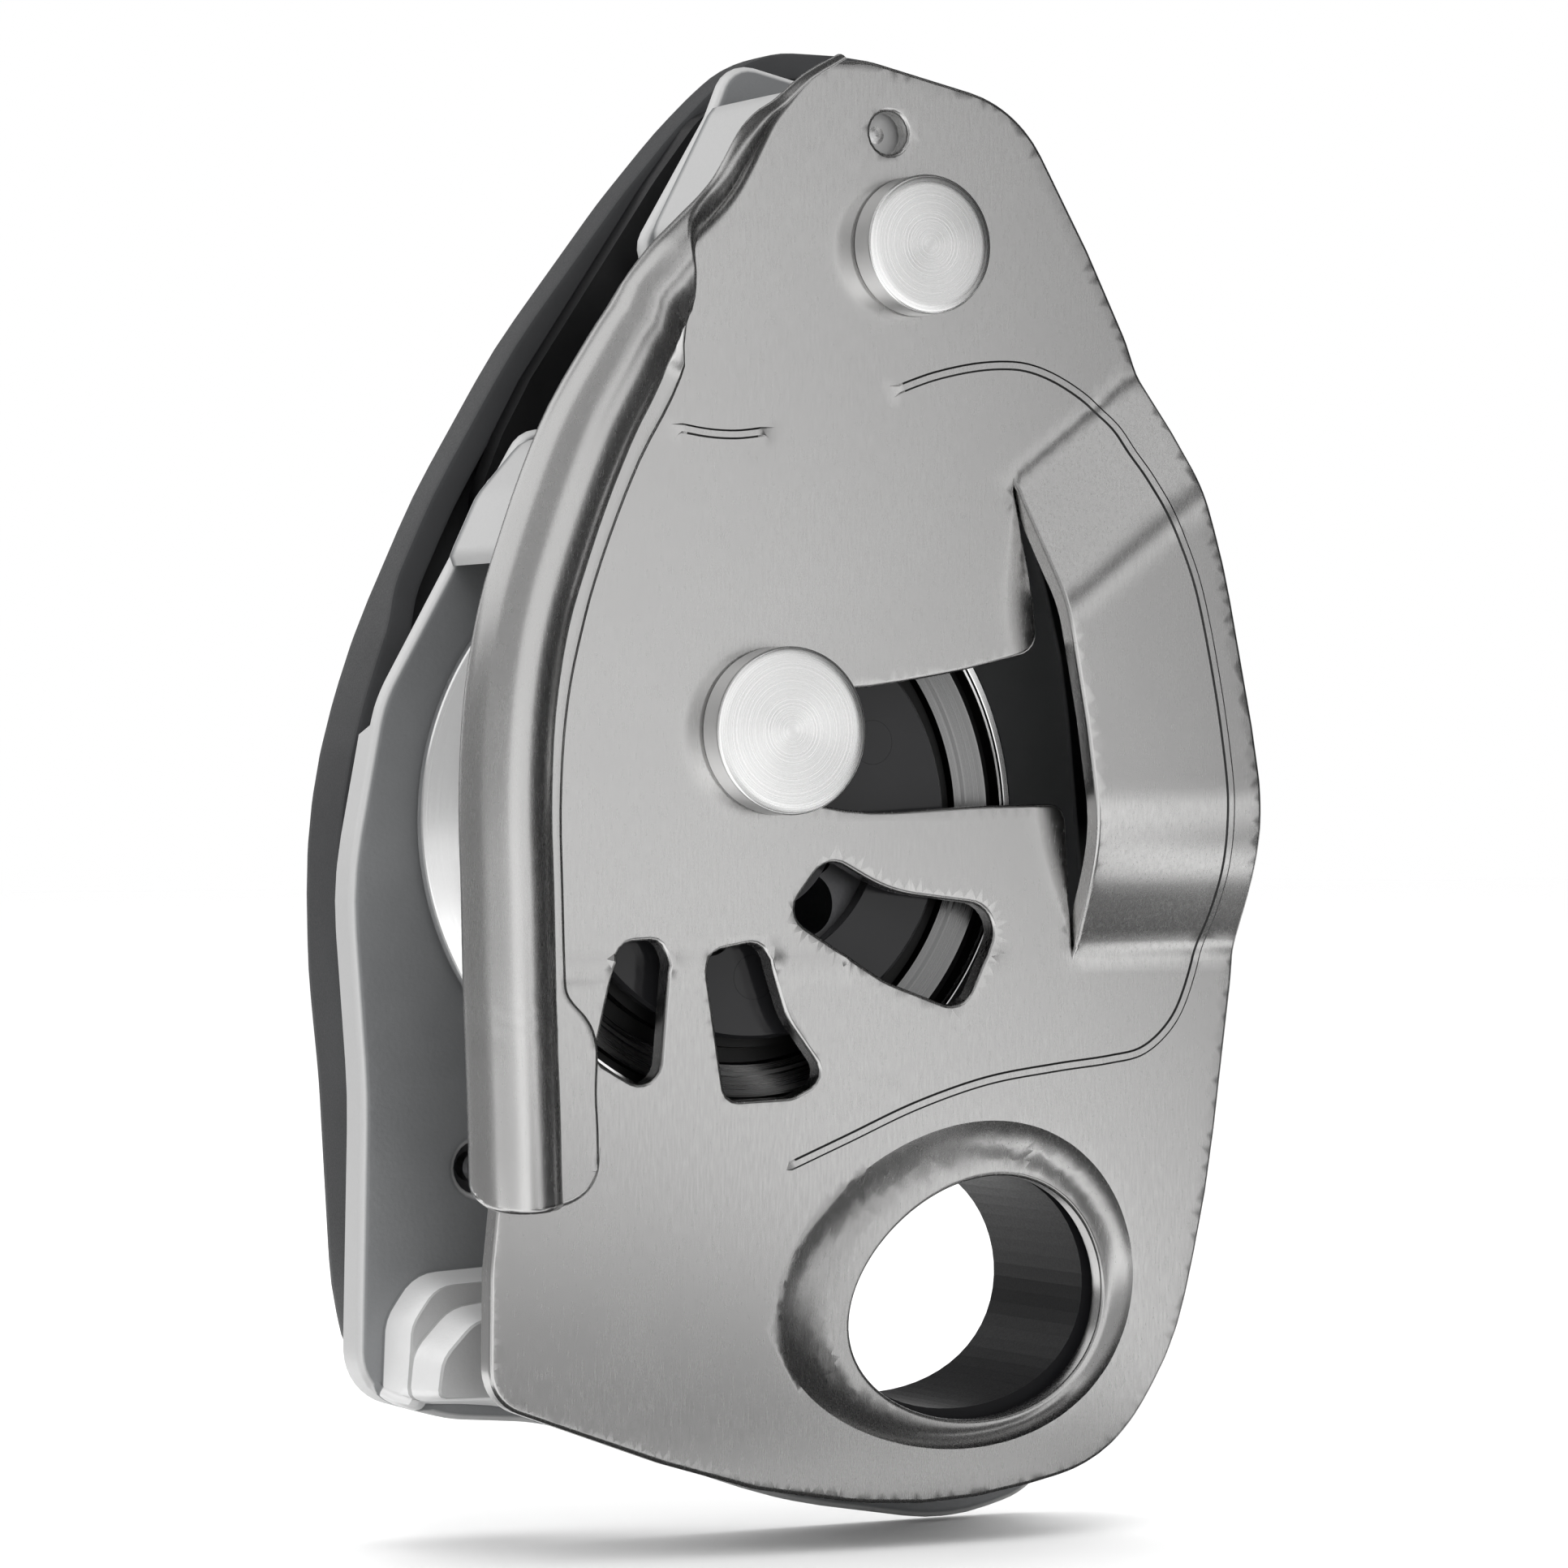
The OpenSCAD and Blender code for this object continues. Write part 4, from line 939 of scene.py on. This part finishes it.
# %% [markdown]
# ### The rolled rope guide
# The plate's left margin is rolled forwards into a tube that the rope runs over. Lower down
# the free edge lies on the plate as a flange, and at the top the roll opens again into the
# flat margin. A curve with a bevel could carry one section along, but this section changes
# on the way, so each ring is worked out from the sheet's middle line there: up to three
# quarters of a circle, a small bend back, and the flange.

# %% Section of the roll
ROLL = 2.9          # radius of the sheet's middle line
STAND_OFF = 0.3     # the roll stands this far outside its route
TIP = 0.55          # how far the free edge is rounded out
FULL_TURN = 240     # degrees of roll from which it stands off fully
BEND_TURN = 235     # degrees of roll from which its end bends back to the plate


def hem_path(turn, flange, radius, count=34):
    """Middle line of the sheet in cross-section: distance outwards, and depth."""
    t = np.radians(90 - np.linspace(0, max(turn, 1.0), 22))
    shift = (STAND_OFF + ROLL - radius) * min(turn / FULL_TURN, 1)
    path = np.stack([shift + radius * np.cos(t), -SHEET + radius * np.sin(t)], 1)
    share = np.clip((turn - BEND_TURN) / 30, 0, 1)
    bend = np.radians(np.linspace(0, 90, 7)[1:]) * share
    end = path[-1]
    if share > 0:
        bent = np.stack([end[0] - (1 - np.cos(bend)), end[1] + np.sin(bend)], 1)
        away = np.linspace(0, flange, 6)[1:]
        flat = np.stack([bent[-1, 0] - away, np.full(5, bent[-1, 1])], 1)
        path = np.vstack([path, bent, flat])
    full = np.r_[0, np.cumsum(np.linalg.norm(np.diff(path, axis=0), axis=1))]
    s = np.linspace(0, full[-1], count)
    return np.stack([np.interp(s, full, path[:, 0]), np.interp(s, full, path[:, 1])], 1)


def hem_section(turn, flange, radius, thick):
    """The sheet's outline in cross-section, with its free edge rounded."""
    path = hem_path(turn, flange, radius)
    v = np.gradient(path, axis=0)
    v /= np.maximum(np.linalg.norm(v, axis=1, keepdims=True), 1e-9)
    side = np.stack([-v[:, 1], v[:, 0]], 1) * thick / 2
    t = np.radians(np.linspace(75, -75, 7))[:, None]
    tip = path[-1] + TIP * v[-1] * np.cos(t) + side[-1] * np.sin(t)
    return np.vstack([path + side, tip, (path - side)[::-1]])


print("sheet's length in a full section:", round(2 * math.pi * ROLL * 0.75, 1), "mm and the flange")

# %% Rolled guide
ROLL_SHEET = SHEET - 0.02       # a little thinner, so that its skin doesn't lie in the plate's
# share of the sheet's thickness, and distance from its end, for the first rings
END_ROUND = ((0.40, 0.0), (0.78, 0.06), (0.94, 0.2), (1.0, 0.45))
TAPER_Z, TAPER = [24, 30, 34, 40], [1, 0.93, 0.8, 0.76]
MOUTH_MIDDLE, MOUTH_HALF = -20.4, 5.7       # the roll's lower end, across as the camera sees it
MOUTH_EDGE, MOUTH_DROP = -35.3, 4.6         # its height at the sides, and the middle below that
rings_3d = []
for i, (x, z, turn, flange) in enumerate(guide_route):
    ahead = guide_route[min(i + 1, len(guide_route) - 1), :2] - guide_route[max(i - 1, 0), :2]
    along = unit(ahead)
    out = np.array([-along[1], along[0]])
    thick = ROLL_SHEET * END_ROUND[min(i, 3)][0]
    section = hem_section(turn, max(flange, 0.0), ROLL * np.interp(z, TAPER_Z, TAPER), thick)
    away, depth = section[:, 0], section[:, 1]
    rings_3d.append(np.stack([x + out[0] * away, depth, z + out[1] * away], 1))
n = len(rings_3d[0])
guide_points = np.vstack(rings_3d)
# the sheet's lower corners are rounded, so the roll ends along a curve as seen from the left
across = guide_points[:, 0] * math.cos(VIEW_ANGLE) - guide_points[:, 1] * math.sin(VIEW_ANGLE)
across = (across - MOUTH_MIDDLE) / MOUTH_HALF
lowest = MOUTH_EDGE - MOUTH_DROP * np.maximum(1 - np.abs(across) ** 2.6, 0) ** 0.385
lowest += np.repeat([END_ROUND[min(i, 3)][1] for i in range(len(rings_3d))], n)
guide_points[:, 2] = np.maximum(guide_points[:, 2], lowest)
guide_faces = ring_faces(len(rings_3d) - 1, n)
for o in (0, (len(rings_3d) - 1) * n):
    guide_faces += [(o + j, o + j + 1, o + n - 2 - j, o + n - 1 - j) for j in range(n // 2 - 1)]
piece("rolled_rope_guide", guide_points, guide_faces, satin_plate, "side_plate",
      crisp=50)

# %% [markdown]
# ## The fixed plate
# The other side plate is forged. It has a floor with a rounded edge, two stepped terraces
# at the bottom left, a boss at the top that closes the rope channel, a shoulder that holds
# the wear plate, and a wall behind the wheel. All rise from one floor towards the viewer.
# It could be one mesh with every step in its heights, but steep walls need edges of their
# own, so the boss, the shoulder and the wall are plates that are sunk into the floor.

# %% Outlines of the fixed plate
FLOOR_Y, REAR_Y = 16.0, 19.6
base_outline = rounded([
    [2.0, 54.0, 2], [4.0, 59.0, 6], [22.0, 55.0, 10], [35.6, 31.0, 60], [42.6, 8.0, 60],
    [45.0, -17.0, 30], [41.0, -47.0, 50], [36.6, -67.6, 8], [26.0, -70.4, 20], [10.0, -67.8, 40],
    [-14.0, -59.6, 20], [-23.0, -58.9, 12], [-31.7, -56.4, 5], [-31.2, -31.0, 60], [-32.6, -13.0, 30],
    [-29.6, 2.6, 12], [-22.6, 14.9, 6], [-16.0, 26.0, 3], [-8.0, 26.6, 5], [-2.0, 33.0, 5],
    [-4.8, 42.6, 2.5]])
rest_of_terrace = [
    [4.0, -40.5, 10], [12.0, -35.0, 10], [24.0, -33.4, 12], [38.6, -36.0, 4], [38.6, -56.0, 14],
    [31.0, -66.4, 8], [20.0, -67.8, 20], [0.0, -63.8, 60], [-18.0, -57.8, 30]]
lower_terrace = rounded([[-29.6, -57.2, 1.5], [-29.3, -50.0, 4], [-26.6, -46.2, 4], [-12.0, -45.4, 30]]
                        + rest_of_terrace)
upper_terrace = rounded([[-29.0, -57.0, 1.5], [-28.4, -52.4, 4], [-25.0, -48.9, 4], [-12.0, -47.4, 30]]
                        + [[x, z - 1.6 if z > -50 else z + 0.6, r] for x, z, r in rest_of_terrace])
boss = rounded([
    [2.2, 54.9, 1.5], [-4.2, 42.8, 2.5], [-0.6, 38.6, 3], [8.0, 33.6, 8], [22.0, 30.4, 12],
    [30.4, 33.0, 3], [27.6, 43.0, 20], [19.8, 55.0, 3]])
shoulder = rounded([
    [-16.2, 25.2, 3], [-20.6, 20.2, 5], [-23.2, 14.8, 1], [-22.7, 13.9, 0.5], [-20.6, 15.2, 3],
    [-17.6, 17.8, 8], [-13.5, 19.8, 10], [-9.5, 20.9, 10], [-6.0, 25.6, 4]])
print("fixed plate:", np.ptp(base_outline, axis=0).round(1), "mm")

# %% Floor with its terraces
LOWER_RISE, UPPER_RISE = 3.9, 4.5
STEP_LEAD, STEP_WIDTH = 0.1, 1.1        # a step begins outside its outline and takes this width
THIN_MARGIN, THIN_BY = 3.2, 2.0


def signed(x, z, loop):
    """Distance inside a loop: negative outside it."""
    p = np.stack([x, z], 1)
    return np.where(inside(p, loop), 1, -1) * nearest(p, loop)


def smooth01(t):
    """0 below 0 and 1 above 1, with an even ease between."""
    t = np.clip(t, 0, 1)
    return t * t * (3 - 2 * t)


def floor_front(x, z):
    """The floor, and the two terraces that rise from it towards the viewer."""
    first = LOWER_RISE * smooth01((signed(x, z, lower_terrace) + STEP_LEAD) / STEP_WIDTH)
    second = UPPER_RISE * smooth01((signed(x, z, upper_terrace) + STEP_LEAD) / STEP_WIDTH)
    return FLOOR_Y - first - second


def floor_back(x, z):
    """The margin behind the handle's wall is thin."""
    edge = signed(x, z, base_outline)
    thin = (z > 0.4) & (x < 12)
    return REAR_Y - np.where(thin, THIN_BY * (1 - smooth01((edge - THIN_MARGIN) / 0.8)), 0)


near_terrace = []
for loop in (lower_terrace, upper_terrace):
    for d in (-0.05, 0.2, 0.45, 0.75, 1.0):
        line = moved_in(resampled(loop, 0.8), d)
        near_terrace.append(np.vstack([line, line[:1]]))
PIVOT_BORE, FOLD_BORE, SLEEVE_WALL = 3.55, 2.3, 1.62
pivot_bore, fold_bore = ring(PIVOT, PIVOT_BORE, 32), ring([-20.2, -37.4], FOLD_BORE, 32)
parts = [plate_mesh(base_outline, [egg(SLEEVE_EGG, SLEEVE_WALL), pivot_bore, fold_bore],
                    floor_front, floor_back, 0.8, grid=1.1, lines=near_terrace, step=0.8, edge_back=0.4)]
print("lines along the steps:", len(near_terrace))

# %% Boss, shoulder and wall
BOSS_Y, SHOULDER_Y, WALL_Y = 2.4, 3.3, 2.5
SUNK_Y = FLOOR_Y + 0.2
WALL_OUTER, WALL_INNER = 0.4, 5.2
parts.append(plate_mesh(boss, [pivot_bore], level(BOSS_Y), level(SUNK_Y), 0.7, grid=2.5, edge_back=0.05))
parts.append(plate_mesh(shoulder, [], level(SHOULDER_Y), level(SUNK_Y), 0.7, grid=2.5, edge_back=0.05))
wall_line = base_outline[(base_outline[:, 0] > 30) & (base_outline[:, 1] < 36) & (base_outline[:, 1] > -48)]
wall_line = resampled(wall_line, 1.0, False)
outer, inner = parallel(wall_line, WALL_OUTER), parallel(wall_line, WALL_INNER)
if inner[:, 0].mean() > outer[:, 0].mean():
    outer, inner = parallel(wall_line, -WALL_OUTER), parallel(wall_line, -WALL_INNER)
wall = np.vstack([outer, inner[::-1]])
parts.append(plate_mesh(wall, [], level(WALL_Y), level(SUNK_Y), 0.6, grid=2.5, edge_back=0.05))
all_faces, base = [], 0
for part_points, part_faces in parts:
    all_faces += [tuple(base + k for k in face) for face in part_faces]
    base += len(part_points)
piece("fixed_side_plate", np.vstack([p for p, _ in parts]), all_faces, forged, "frame",
      ("fixed_plate",), crisp=50)

# %% [markdown]
# ## The handle
# The grip is a moulded tray. Its wall follows the outline on the left and round the top,
# and the back is rounded over generously where the palm meets it. Two skins are lofted
# from moved-in outlines, one outside and one inside, and joined along the open edge. A box
# with a Solidify modifier could do too, but its wall would not step back over the lever.

# %% Outline of the grip, and where its wall begins
GRIP_Y, GRIP_END, GRIP_WALL, GRIP_ROUND = 20.6, 30.2, 2.4, 3.6
LEVER_STEP = 2.4                # the wall stands back this far over the lever's plates
LEVER_FROM, LEVER_OVER = 8.0, 6.0       # height where that begins, and how far it takes
OPEN_FROM, OPEN_OVER = 8.5, 8.0         # the same across, where the wall runs out to the right
GRIP_CROWN = 57.0               # above this height the wall runs all the way round
grip_outline = resampled(rounded([
    [2.2, 53.7, 60], [5.6, 57.0, 20], [8.6, 59.6, 12], [12.5, 60.9, 10], [18.5, 60.9, 10],
    [24.6, 60.4, 8], [29.0, 50.0, 12], [20.0, 26.0, 60], [12.5, 0.0, 80], [3.0, -30.0, 60],
    [-4.0, -52.0, 14], [-14.0, -58.4, 12], [-27.6, -55.4, 9], [-29.3, -48.0, 30], [-30.4, -30.0, 60],
    [-31.4, -20.6, 60], [-31.6, -10.0, 60], [-30.4, -1.6, 60], [-27.4, 8.0, 60], [-21.5, 20.7, 60],
    [-13.7, 33.8, 60], [-3.5, 47.1, 60]]), 1.1)
if area(grip_outline) < 0:
    grip_outline = grip_outline[::-1]


def wall_start(p):
    """Where the tray's wall begins: it stands back over the lever's plates and ends at the right."""
    y = GRIP_Y + LEVER_STEP * smooth01((p[:, 1] - LEVER_FROM) / LEVER_OVER)
    right = smooth01((p[:, 0] - 0.22 * p[:, 1] - OPEN_FROM) / OPEN_OVER)
    right = np.where(p[:, 1] > GRIP_CROWN, 0.0, right)
    return y + (GRIP_END - 2.7 - y) * right


start = wall_start(grip_outline)
print("the grip's wall begins", start.min().round(1), "to", start.max().round(1), "mm deep")

# %% Grip
LIP = ((0.45, 0.0), (0.1, 0.12), (0.0, 0.45))       # inset and depth along the open edge


def stack(loop, levels):
    """Rings at (inset, depth) pairs; a depth may be one number or one for each point."""
    out = []
    for d, y in levels:
        m = moved_in(loop, d)
        out.append(np.stack([m[:, 0], np.broadcast_to(y, len(m)).astype(float), m[:, 1]], 1))
    return out


straight = GRIP_END - GRIP_ROUND
outer_levels = [(d, start + y) for d, y in LIP]
outer_levels += [(0.0, np.maximum(start + 0.5, start + (straight - start) * s)) for s in (0.5, 1.0)]
for t in np.radians(np.linspace(15, 90, 6)):
    outer_levels.append((GRIP_ROUND * (1 - math.cos(t)), straight + GRIP_ROUND * math.sin(t)))
inner_levels = [(GRIP_WALL - d, start + y) for d, y in LIP]
inner_levels += [(GRIP_WALL, np.maximum(start + 0.5, GRIP_END - 3.4)), (GRIP_WALL + 0.8, GRIP_END - 2.6)]
rings_3d = stack(grip_outline, outer_levels)[::-1] + stack(grip_outline, inner_levels)
n = len(grip_outline)
grip_points = np.vstack(rings_3d)
grip_faces = ring_faces(len(rings_3d) - 1, n)
grip_faces += [tuple(range(n)), tuple(range(len(grip_points) - n, len(grip_points)))[::-1]]
piece("grip_moulding", grip_points, grip_faces, nylon, "grip", ("grip_shell",), crisp=45)

HUB, HUB_BORE, HUB_START = 6.0, 4.05, 23.3
hub_end = GRIP_END - 2.5
hub_points, hub_faces = turned([[HUB_BORE, HUB_START], [HUB, HUB_START], [HUB, hub_end],
                                [HUB_BORE, hub_end], [HUB_BORE, HUB_START]], 64)
piece("grip_hub", on_axis(hub_points, (11.0, 49.0)), hub_faces, nylon, "grip")

# %% [markdown]
# ## Rivet heads, wheel and cover
# The two silver heads draw the eye, so they get fine profiles with a small bevel. The
# wheel shows through the slot, the vents and the gap at the left. It could be plain there,
# but its turned steps, its groove and painted shade in its recesses draw the fine rings
# that one sees there.

# %% Rivet and axle
HEAD = 3.0
PIVOT_HEAD, AXLE_HEAD = 6.0, 7.15


def rivet_head(r, bevel=0.3, top=-HEAD, foot=-0.15):
    """Profile of a flat head with a fine chamfer and a rounded rim."""
    t = np.radians(np.linspace(8, 90, 6))
    low = top + 0.06
    rim = [[r - bevel + bevel * math.sin(a), low + bevel - bevel * math.cos(a)] for a in t]
    return [[0.0, top], [r * 0.35, top], [r - 1.0, top]] + rim + [[r, foot - 0.2], [r - 0.2, foot]]


points, faces = turned(rivet_head(PIVOT_HEAD) + [
    [3.5, -0.15], [3.5, 18.4], [5.4, 18.4], [5.4, 19.5], [0.0, 19.5]])
piece("pivot_rivet_turned", on_axis(points, PIVOT), faces, rivet_metal, "frame",
      ("plate_pivot_rivet",), crisp=35, origin=(PIVOT[0], 0, PIVOT[1]))
points, faces = turned(rivet_head(AXLE_HEAD) + [
    [4.8, -0.15], [4.8, 2.8], [4.5, 2.8], [4.5, 24.6], [0.0, 24.6]])
piece("axle_turned", points, faces, rivet_metal, "frame", ("cam_axle",), crisp=35,
      origin=(0, 0, 0))

# %% Wheel
WHEEL = np.array([-0.5, -7.6])
front_y, middle_y, back_y = 3.9, 9.45, 15.0
FACE_DEPTH = 6.5                            # its turned front face lies before this depth
GROOVE_FLOOR, GROOVE = 20.5, 3.4            # radius at its floor; its depth, also half its width
groove = [[GROOVE_FLOOR + GROOVE * abs(2 * t - 1) ** 2.2, middle_y - GROOVE + 2 * GROOVE * t]
          for t in np.linspace(0, 1, 17)]
wheel_profile = [
    [17.87, 4.9], [18.15, 4.7], [18.5, 4.7], [18.6, 5.0], [19.45, 5.0], [19.55, 6.2], [20.8, 6.2],
    [21.0, 5.4], [23.7, 4.5], [23.8, 5.4], [24.6, 5.4], [24.66, 4.1], [24.72, 3.95], [24.92, 3.95],
    [24.96, 4.5], [25.08, 4.5], [25.12, 3.95], [25.2, front_y], [25.65, front_y], [25.85, 4.1],
    [25.4, 5.3]]
wheel_profile += groove
wheel_profile += [
    [25.9, 13.9], [26.1, 14.1], [26.2, 14.4], [26.2, back_y - 0.2], [26.0, back_y], [17.87, back_y],
    [17.87, 4.9]]
points, faces = turned(wheel_profile, 160)
wheel = piece("wheel_turned", on_axis(points, WHEEL), faces, wheel_metal, "wheel",
              ("wheel",), crisp=30, origin=(WHEEL[0], 0, WHEEL[1]))


def wheel_ring(*pairs):
    """Chooses the wheel's front faces between pairs of radii."""
    def chosen(x, y, z):
        r = np.hypot(x - WHEEL[0], z - WHEEL[1])
        return (y < FACE_DEPTH) & np.any([(r > a) & (r < b) for a, b in pairs], axis=0)
    return chosen


# painted shade in the recesses and narrow rings of the wheel's front face
second_finish(wheel, painted_wheel_shade, wheel_ring((18.55, 20.95), (23.72, 24.68), (24.93, 25.11)))
second_finish(wheel, wheel_brushed, wheel_ring((20.96, 23.71)))

# %% [markdown]
# ## Finishes for the CAD nodes that stay
# The other pieces are inside or behind, or so plain that a finer mesh would show nothing
# new, so they keep their CAD meshes. They only need their finish, and a small bevel where
# an edge catches the light.

# %% Materials of the remaining nodes
SOFT_EDGE = 0.00025
stay = {
    "plate_pivot_washer": wear_steel, "plate_detent_pin": wear_steel, "axle_rear_head": rivet_metal,
    "friction_plate": wear_steel, "friction_plate_rivets": wear_steel, "attachment_liner": sleeve_black,
    "spring_anchor_pin": cam_steel, "cam_return_spring": spring_steel, "plate_bush": bronze,
    # the cover's screws take the cover's black as painted shade, since they sit in the dark of the slot
    "cam": cam_steel, "cam_bush": bronze, "cam_cover": cover_black, "cam_cover_screws": cover_black,
    "cam_drive_pin": wear_steel, "wheel_bearing": bronze, "lever_plate_front": lever_steel,
    "lever_plate_rear": lever_steel, "lever_bush": bronze, "lever_rivets": wear_steel,
    "fold_pin": rivet_metal, "fold_washer": wear_steel, "grip_pivot_bush": bronze}
for name, finish in stay.items():
    node = nodes[name]
    for k in range(len(node.data.materials)):
        node.material_slots[k].material = finish
    if name in ("attachment_liner", "lever_plate_front", "lever_plate_rear", "cam_cover"):
        soft = node.modifiers.new("soft_edge", "BEVEL")
        soft.width, soft.segments, soft.limit_method = SOFT_EDGE, 3, "ANGLE"
        soft.angle_limit = math.radians(40)
        soft.use_clamp_overlap = True
print("nodes with a new finish:", len(stay))

# %% [markdown]
# ## Table, backdrop and light
# The photograph has a pure white ground, and the floor and the world are white to the
# camera. The floor is wide enough to fill the frame and catches the device's shadow.

# %% Floor
FLOOR_Z, FLOOR_HALF = -0.0212, 3
floor_mesh = bpy.data.meshes.new("floor")
floor_corners = [(x * FLOOR_HALF, y * FLOOR_HALF, FLOOR_Z) for x, y in ((-1, -1), (1, -1), (1, 1), (-1, 1))]
floor_mesh.from_pydata(floor_corners, [], [(0, 1, 2, 3)])
floor = bpy.data.objects.new("floor", floor_mesh)
bpy.context.scene.collection.objects.link(floor)
white, tree, bsdf = new_finish("studio_white")
bsdf.inputs["Base Color"].default_value = (0.995, 0.995, 0.995, 1)
bsdf.inputs["Roughness"].default_value = 0.9
floor_mesh.materials.append(white)
print("floor at", FLOOR_Z, "m")

# %% [markdown]
# ### Lamps
# A large soft lamp stands at the upper left and a weaker one hangs overhead, at a level at
# which a colour renders about as it is written. Real lamps would also show in the metal as
# bright squares. These are hidden from mirror rays, so that only the cards below decide
# what the metal reflects.

# %% Two lamps
MIDDLE = (0.0, 0.0, 0.045)


def lamp(name, size, place, target, power):
    """A rectangular lamp that is aimed at a target and doesn't show in reflections."""
    data = bpy.data.lights.new(name, "AREA")
    data.shape, data.size, data.size_y = "RECTANGLE", size[0], size[1]
    data.energy = power
    obj = bpy.data.objects.new(name, data)
    bpy.context.scene.collection.objects.link(obj)
    obj.location = place
    obj.rotation_euler = (Vector(target) - Vector(place)).to_track_quat("-Z", "Y").to_euler()
    obj.visible_glossy = False
    print(name, power, "W")


lamp("key_left", (0.8, 0.8), (-0.45, -0.78, 0.92), MIDDLE, 6.0)
lamp("top_strip", (0.8, 0.3), (0.1, 0.2, 0.9), MIDDLE, 3.0)

# %% [markdown]
# ### Cards that the metal mirrors
# Polished metal in a white room looks white all over. A photographer stands dark cards
# round it, which give the sheet its grey and the rolled edge its stripes. Shades in the
# world could do that too, but cards can stand near, where each face mirrors another part
# of them. The camera, the shadows and the soft light don't see these cards.

# %% Cards
LOW = FLOOR_Z + 0.0002          # a lying card is just above the floor


def standing(a, b, low, high):
    """Corners of a card that stands between two places (x, y), from low to high."""
    return [(*a, low), (*b, low), (*b, high), (*a, high)]


def lying(height, *places):
    return [(x, y, height) for x, y in places]


cards = (
    ("flag_right", standing((0.5, -0.78), (0.5, 0.45), -0.4, 0.6), 0.02),
    ("flag_left", standing((-0.5, -0.04), (-0.5, 0.50), -0.02, 0.20), 0.22),
    ("flag_far_left", standing((-0.5, 0.50), (-0.12, 0.70), -0.02, 0.20), 0.22),
    ("flag_front_left", standing((-0.5, -0.04), (-0.30, -0.80), 0.0, 0.9), 0.34),
    ("flag_back_high", standing((-0.45, 0.7), (-0.08, 0.7), 0.5, 1.1), 0.3),
    ("flag_high", standing((-0.35, -0.8), (0.0, -0.8), 0.5, 1.6), 0.5),
    ("flag_behind", standing((-0.03, 0.7), (0.40, 0.7), -0.4, 0.6), 0.10),
    ("flag_above", standing((0.10, -0.45), (0.80, -0.45), 0.29, 0.75), 0.03),
    ("flag_strip", standing((0.04, -0.46), (0.80, -0.46), 0.22, 0.29), 0.03),
    ("flag_roof", lying(0.62, (-0.2, -0.3), (0.8, -0.3), (0.8, 0.6), (-0.2, 0.6)), 0.05),
    ("card_front", lying(LOW, (-0.03, -0.045), (0.050, -0.045), (0.14, -0.42), (0.03, -0.42)), 0.10),
    ("card_near", lying(LOW, (0.030, -0.044), (0.086, -0.044), (0.086, -0.005), (0.030, -0.005)), 0.03),
    ("card_right", lying(LOW, (0.088, -0.10), (0.49, -0.62), (0.49, -0.005), (0.088, -0.005)), 0.03),
    ("card_side", lying(LOW, (-0.9, -0.6), (-0.12, -0.6), (-0.12, -0.1), (-0.9, -0.1)), 0.55),
    ("card_under", lying(LOW, (-0.07, -0.025), (0.029, -0.025), (0.029, 0.03), (-0.07, 0.03)), 0.05),
    ("card_left", lying(LOW, (-0.70, -0.20), (-0.09, -0.02), (-0.09, 0.65), (-0.70, 0.50)), 0.25))
for name, corners, shade in cards:
    mesh = bpy.data.meshes.new(name)
    mesh.from_pydata(corners, [], [(0, 1, 2, 3)])
    obj = bpy.data.objects.new(name, mesh)
    bpy.context.scene.collection.objects.link(obj)
    mat, tree, bsdf = new_finish(name)
    bsdf.inputs["Base Color"].default_value = (shade, shade, shade, 1)
    bsdf.inputs["Roughness"].default_value = 1.0
    mesh.materials.append(mat)
    obj.visible_camera = obj.visible_shadow = obj.visible_diffuse = False
print("cards:", len(cards))

# %% [markdown]
# ### White world
# The world gives the even light of a white room. Two backgrounds are mixed by the kind of
# ray, so that what the camera, mirrors and clear things see is always pure white, and what
# lights the object could be set by itself.

# %% World
world = bpy.data.worlds.new("studio")
bpy.context.scene.world = world
world.use_nodes = True
tree = world.node_tree
tree.nodes.clear()
out = add(tree, "ShaderNodeOutputWorld")
seen = add(tree, "ShaderNodeBackground", Color=(1, 1, 1, 1), Strength=1.0)
around = add(tree, "ShaderNodeBackground", Color=(1, 1, 1, 1), Strength=1.0)
path = add(tree, "ShaderNodeLightPath")
pick = add(tree, "ShaderNodeMixShader")
white_rays = path.outputs["Is Camera Ray"]
for kind in ("Is Glossy Ray", "Is Transmission Ray"):
    both = add(tree, "ShaderNodeMath", operation="MAXIMUM")
    tree.links.new(white_rays, both.inputs[0])
    tree.links.new(path.outputs[kind], both.inputs[1])
    white_rays = both.outputs[0]
tree.links.new(white_rays, pick.inputs[0])
tree.links.new(around.outputs[0], pick.inputs[1])
tree.links.new(seen.outputs[0], pick.inputs[2])
tree.links.new(pick.outputs[0], out.inputs["Surface"])
bpy.context.scene.view_settings.view_transform = "Standard"
print("world nodes:", len(tree.nodes))

# %% [markdown]
# ## New pieces
# The number of new pieces is printed at the end.

# %% Count the new pieces
print("new pieces:", len(made))
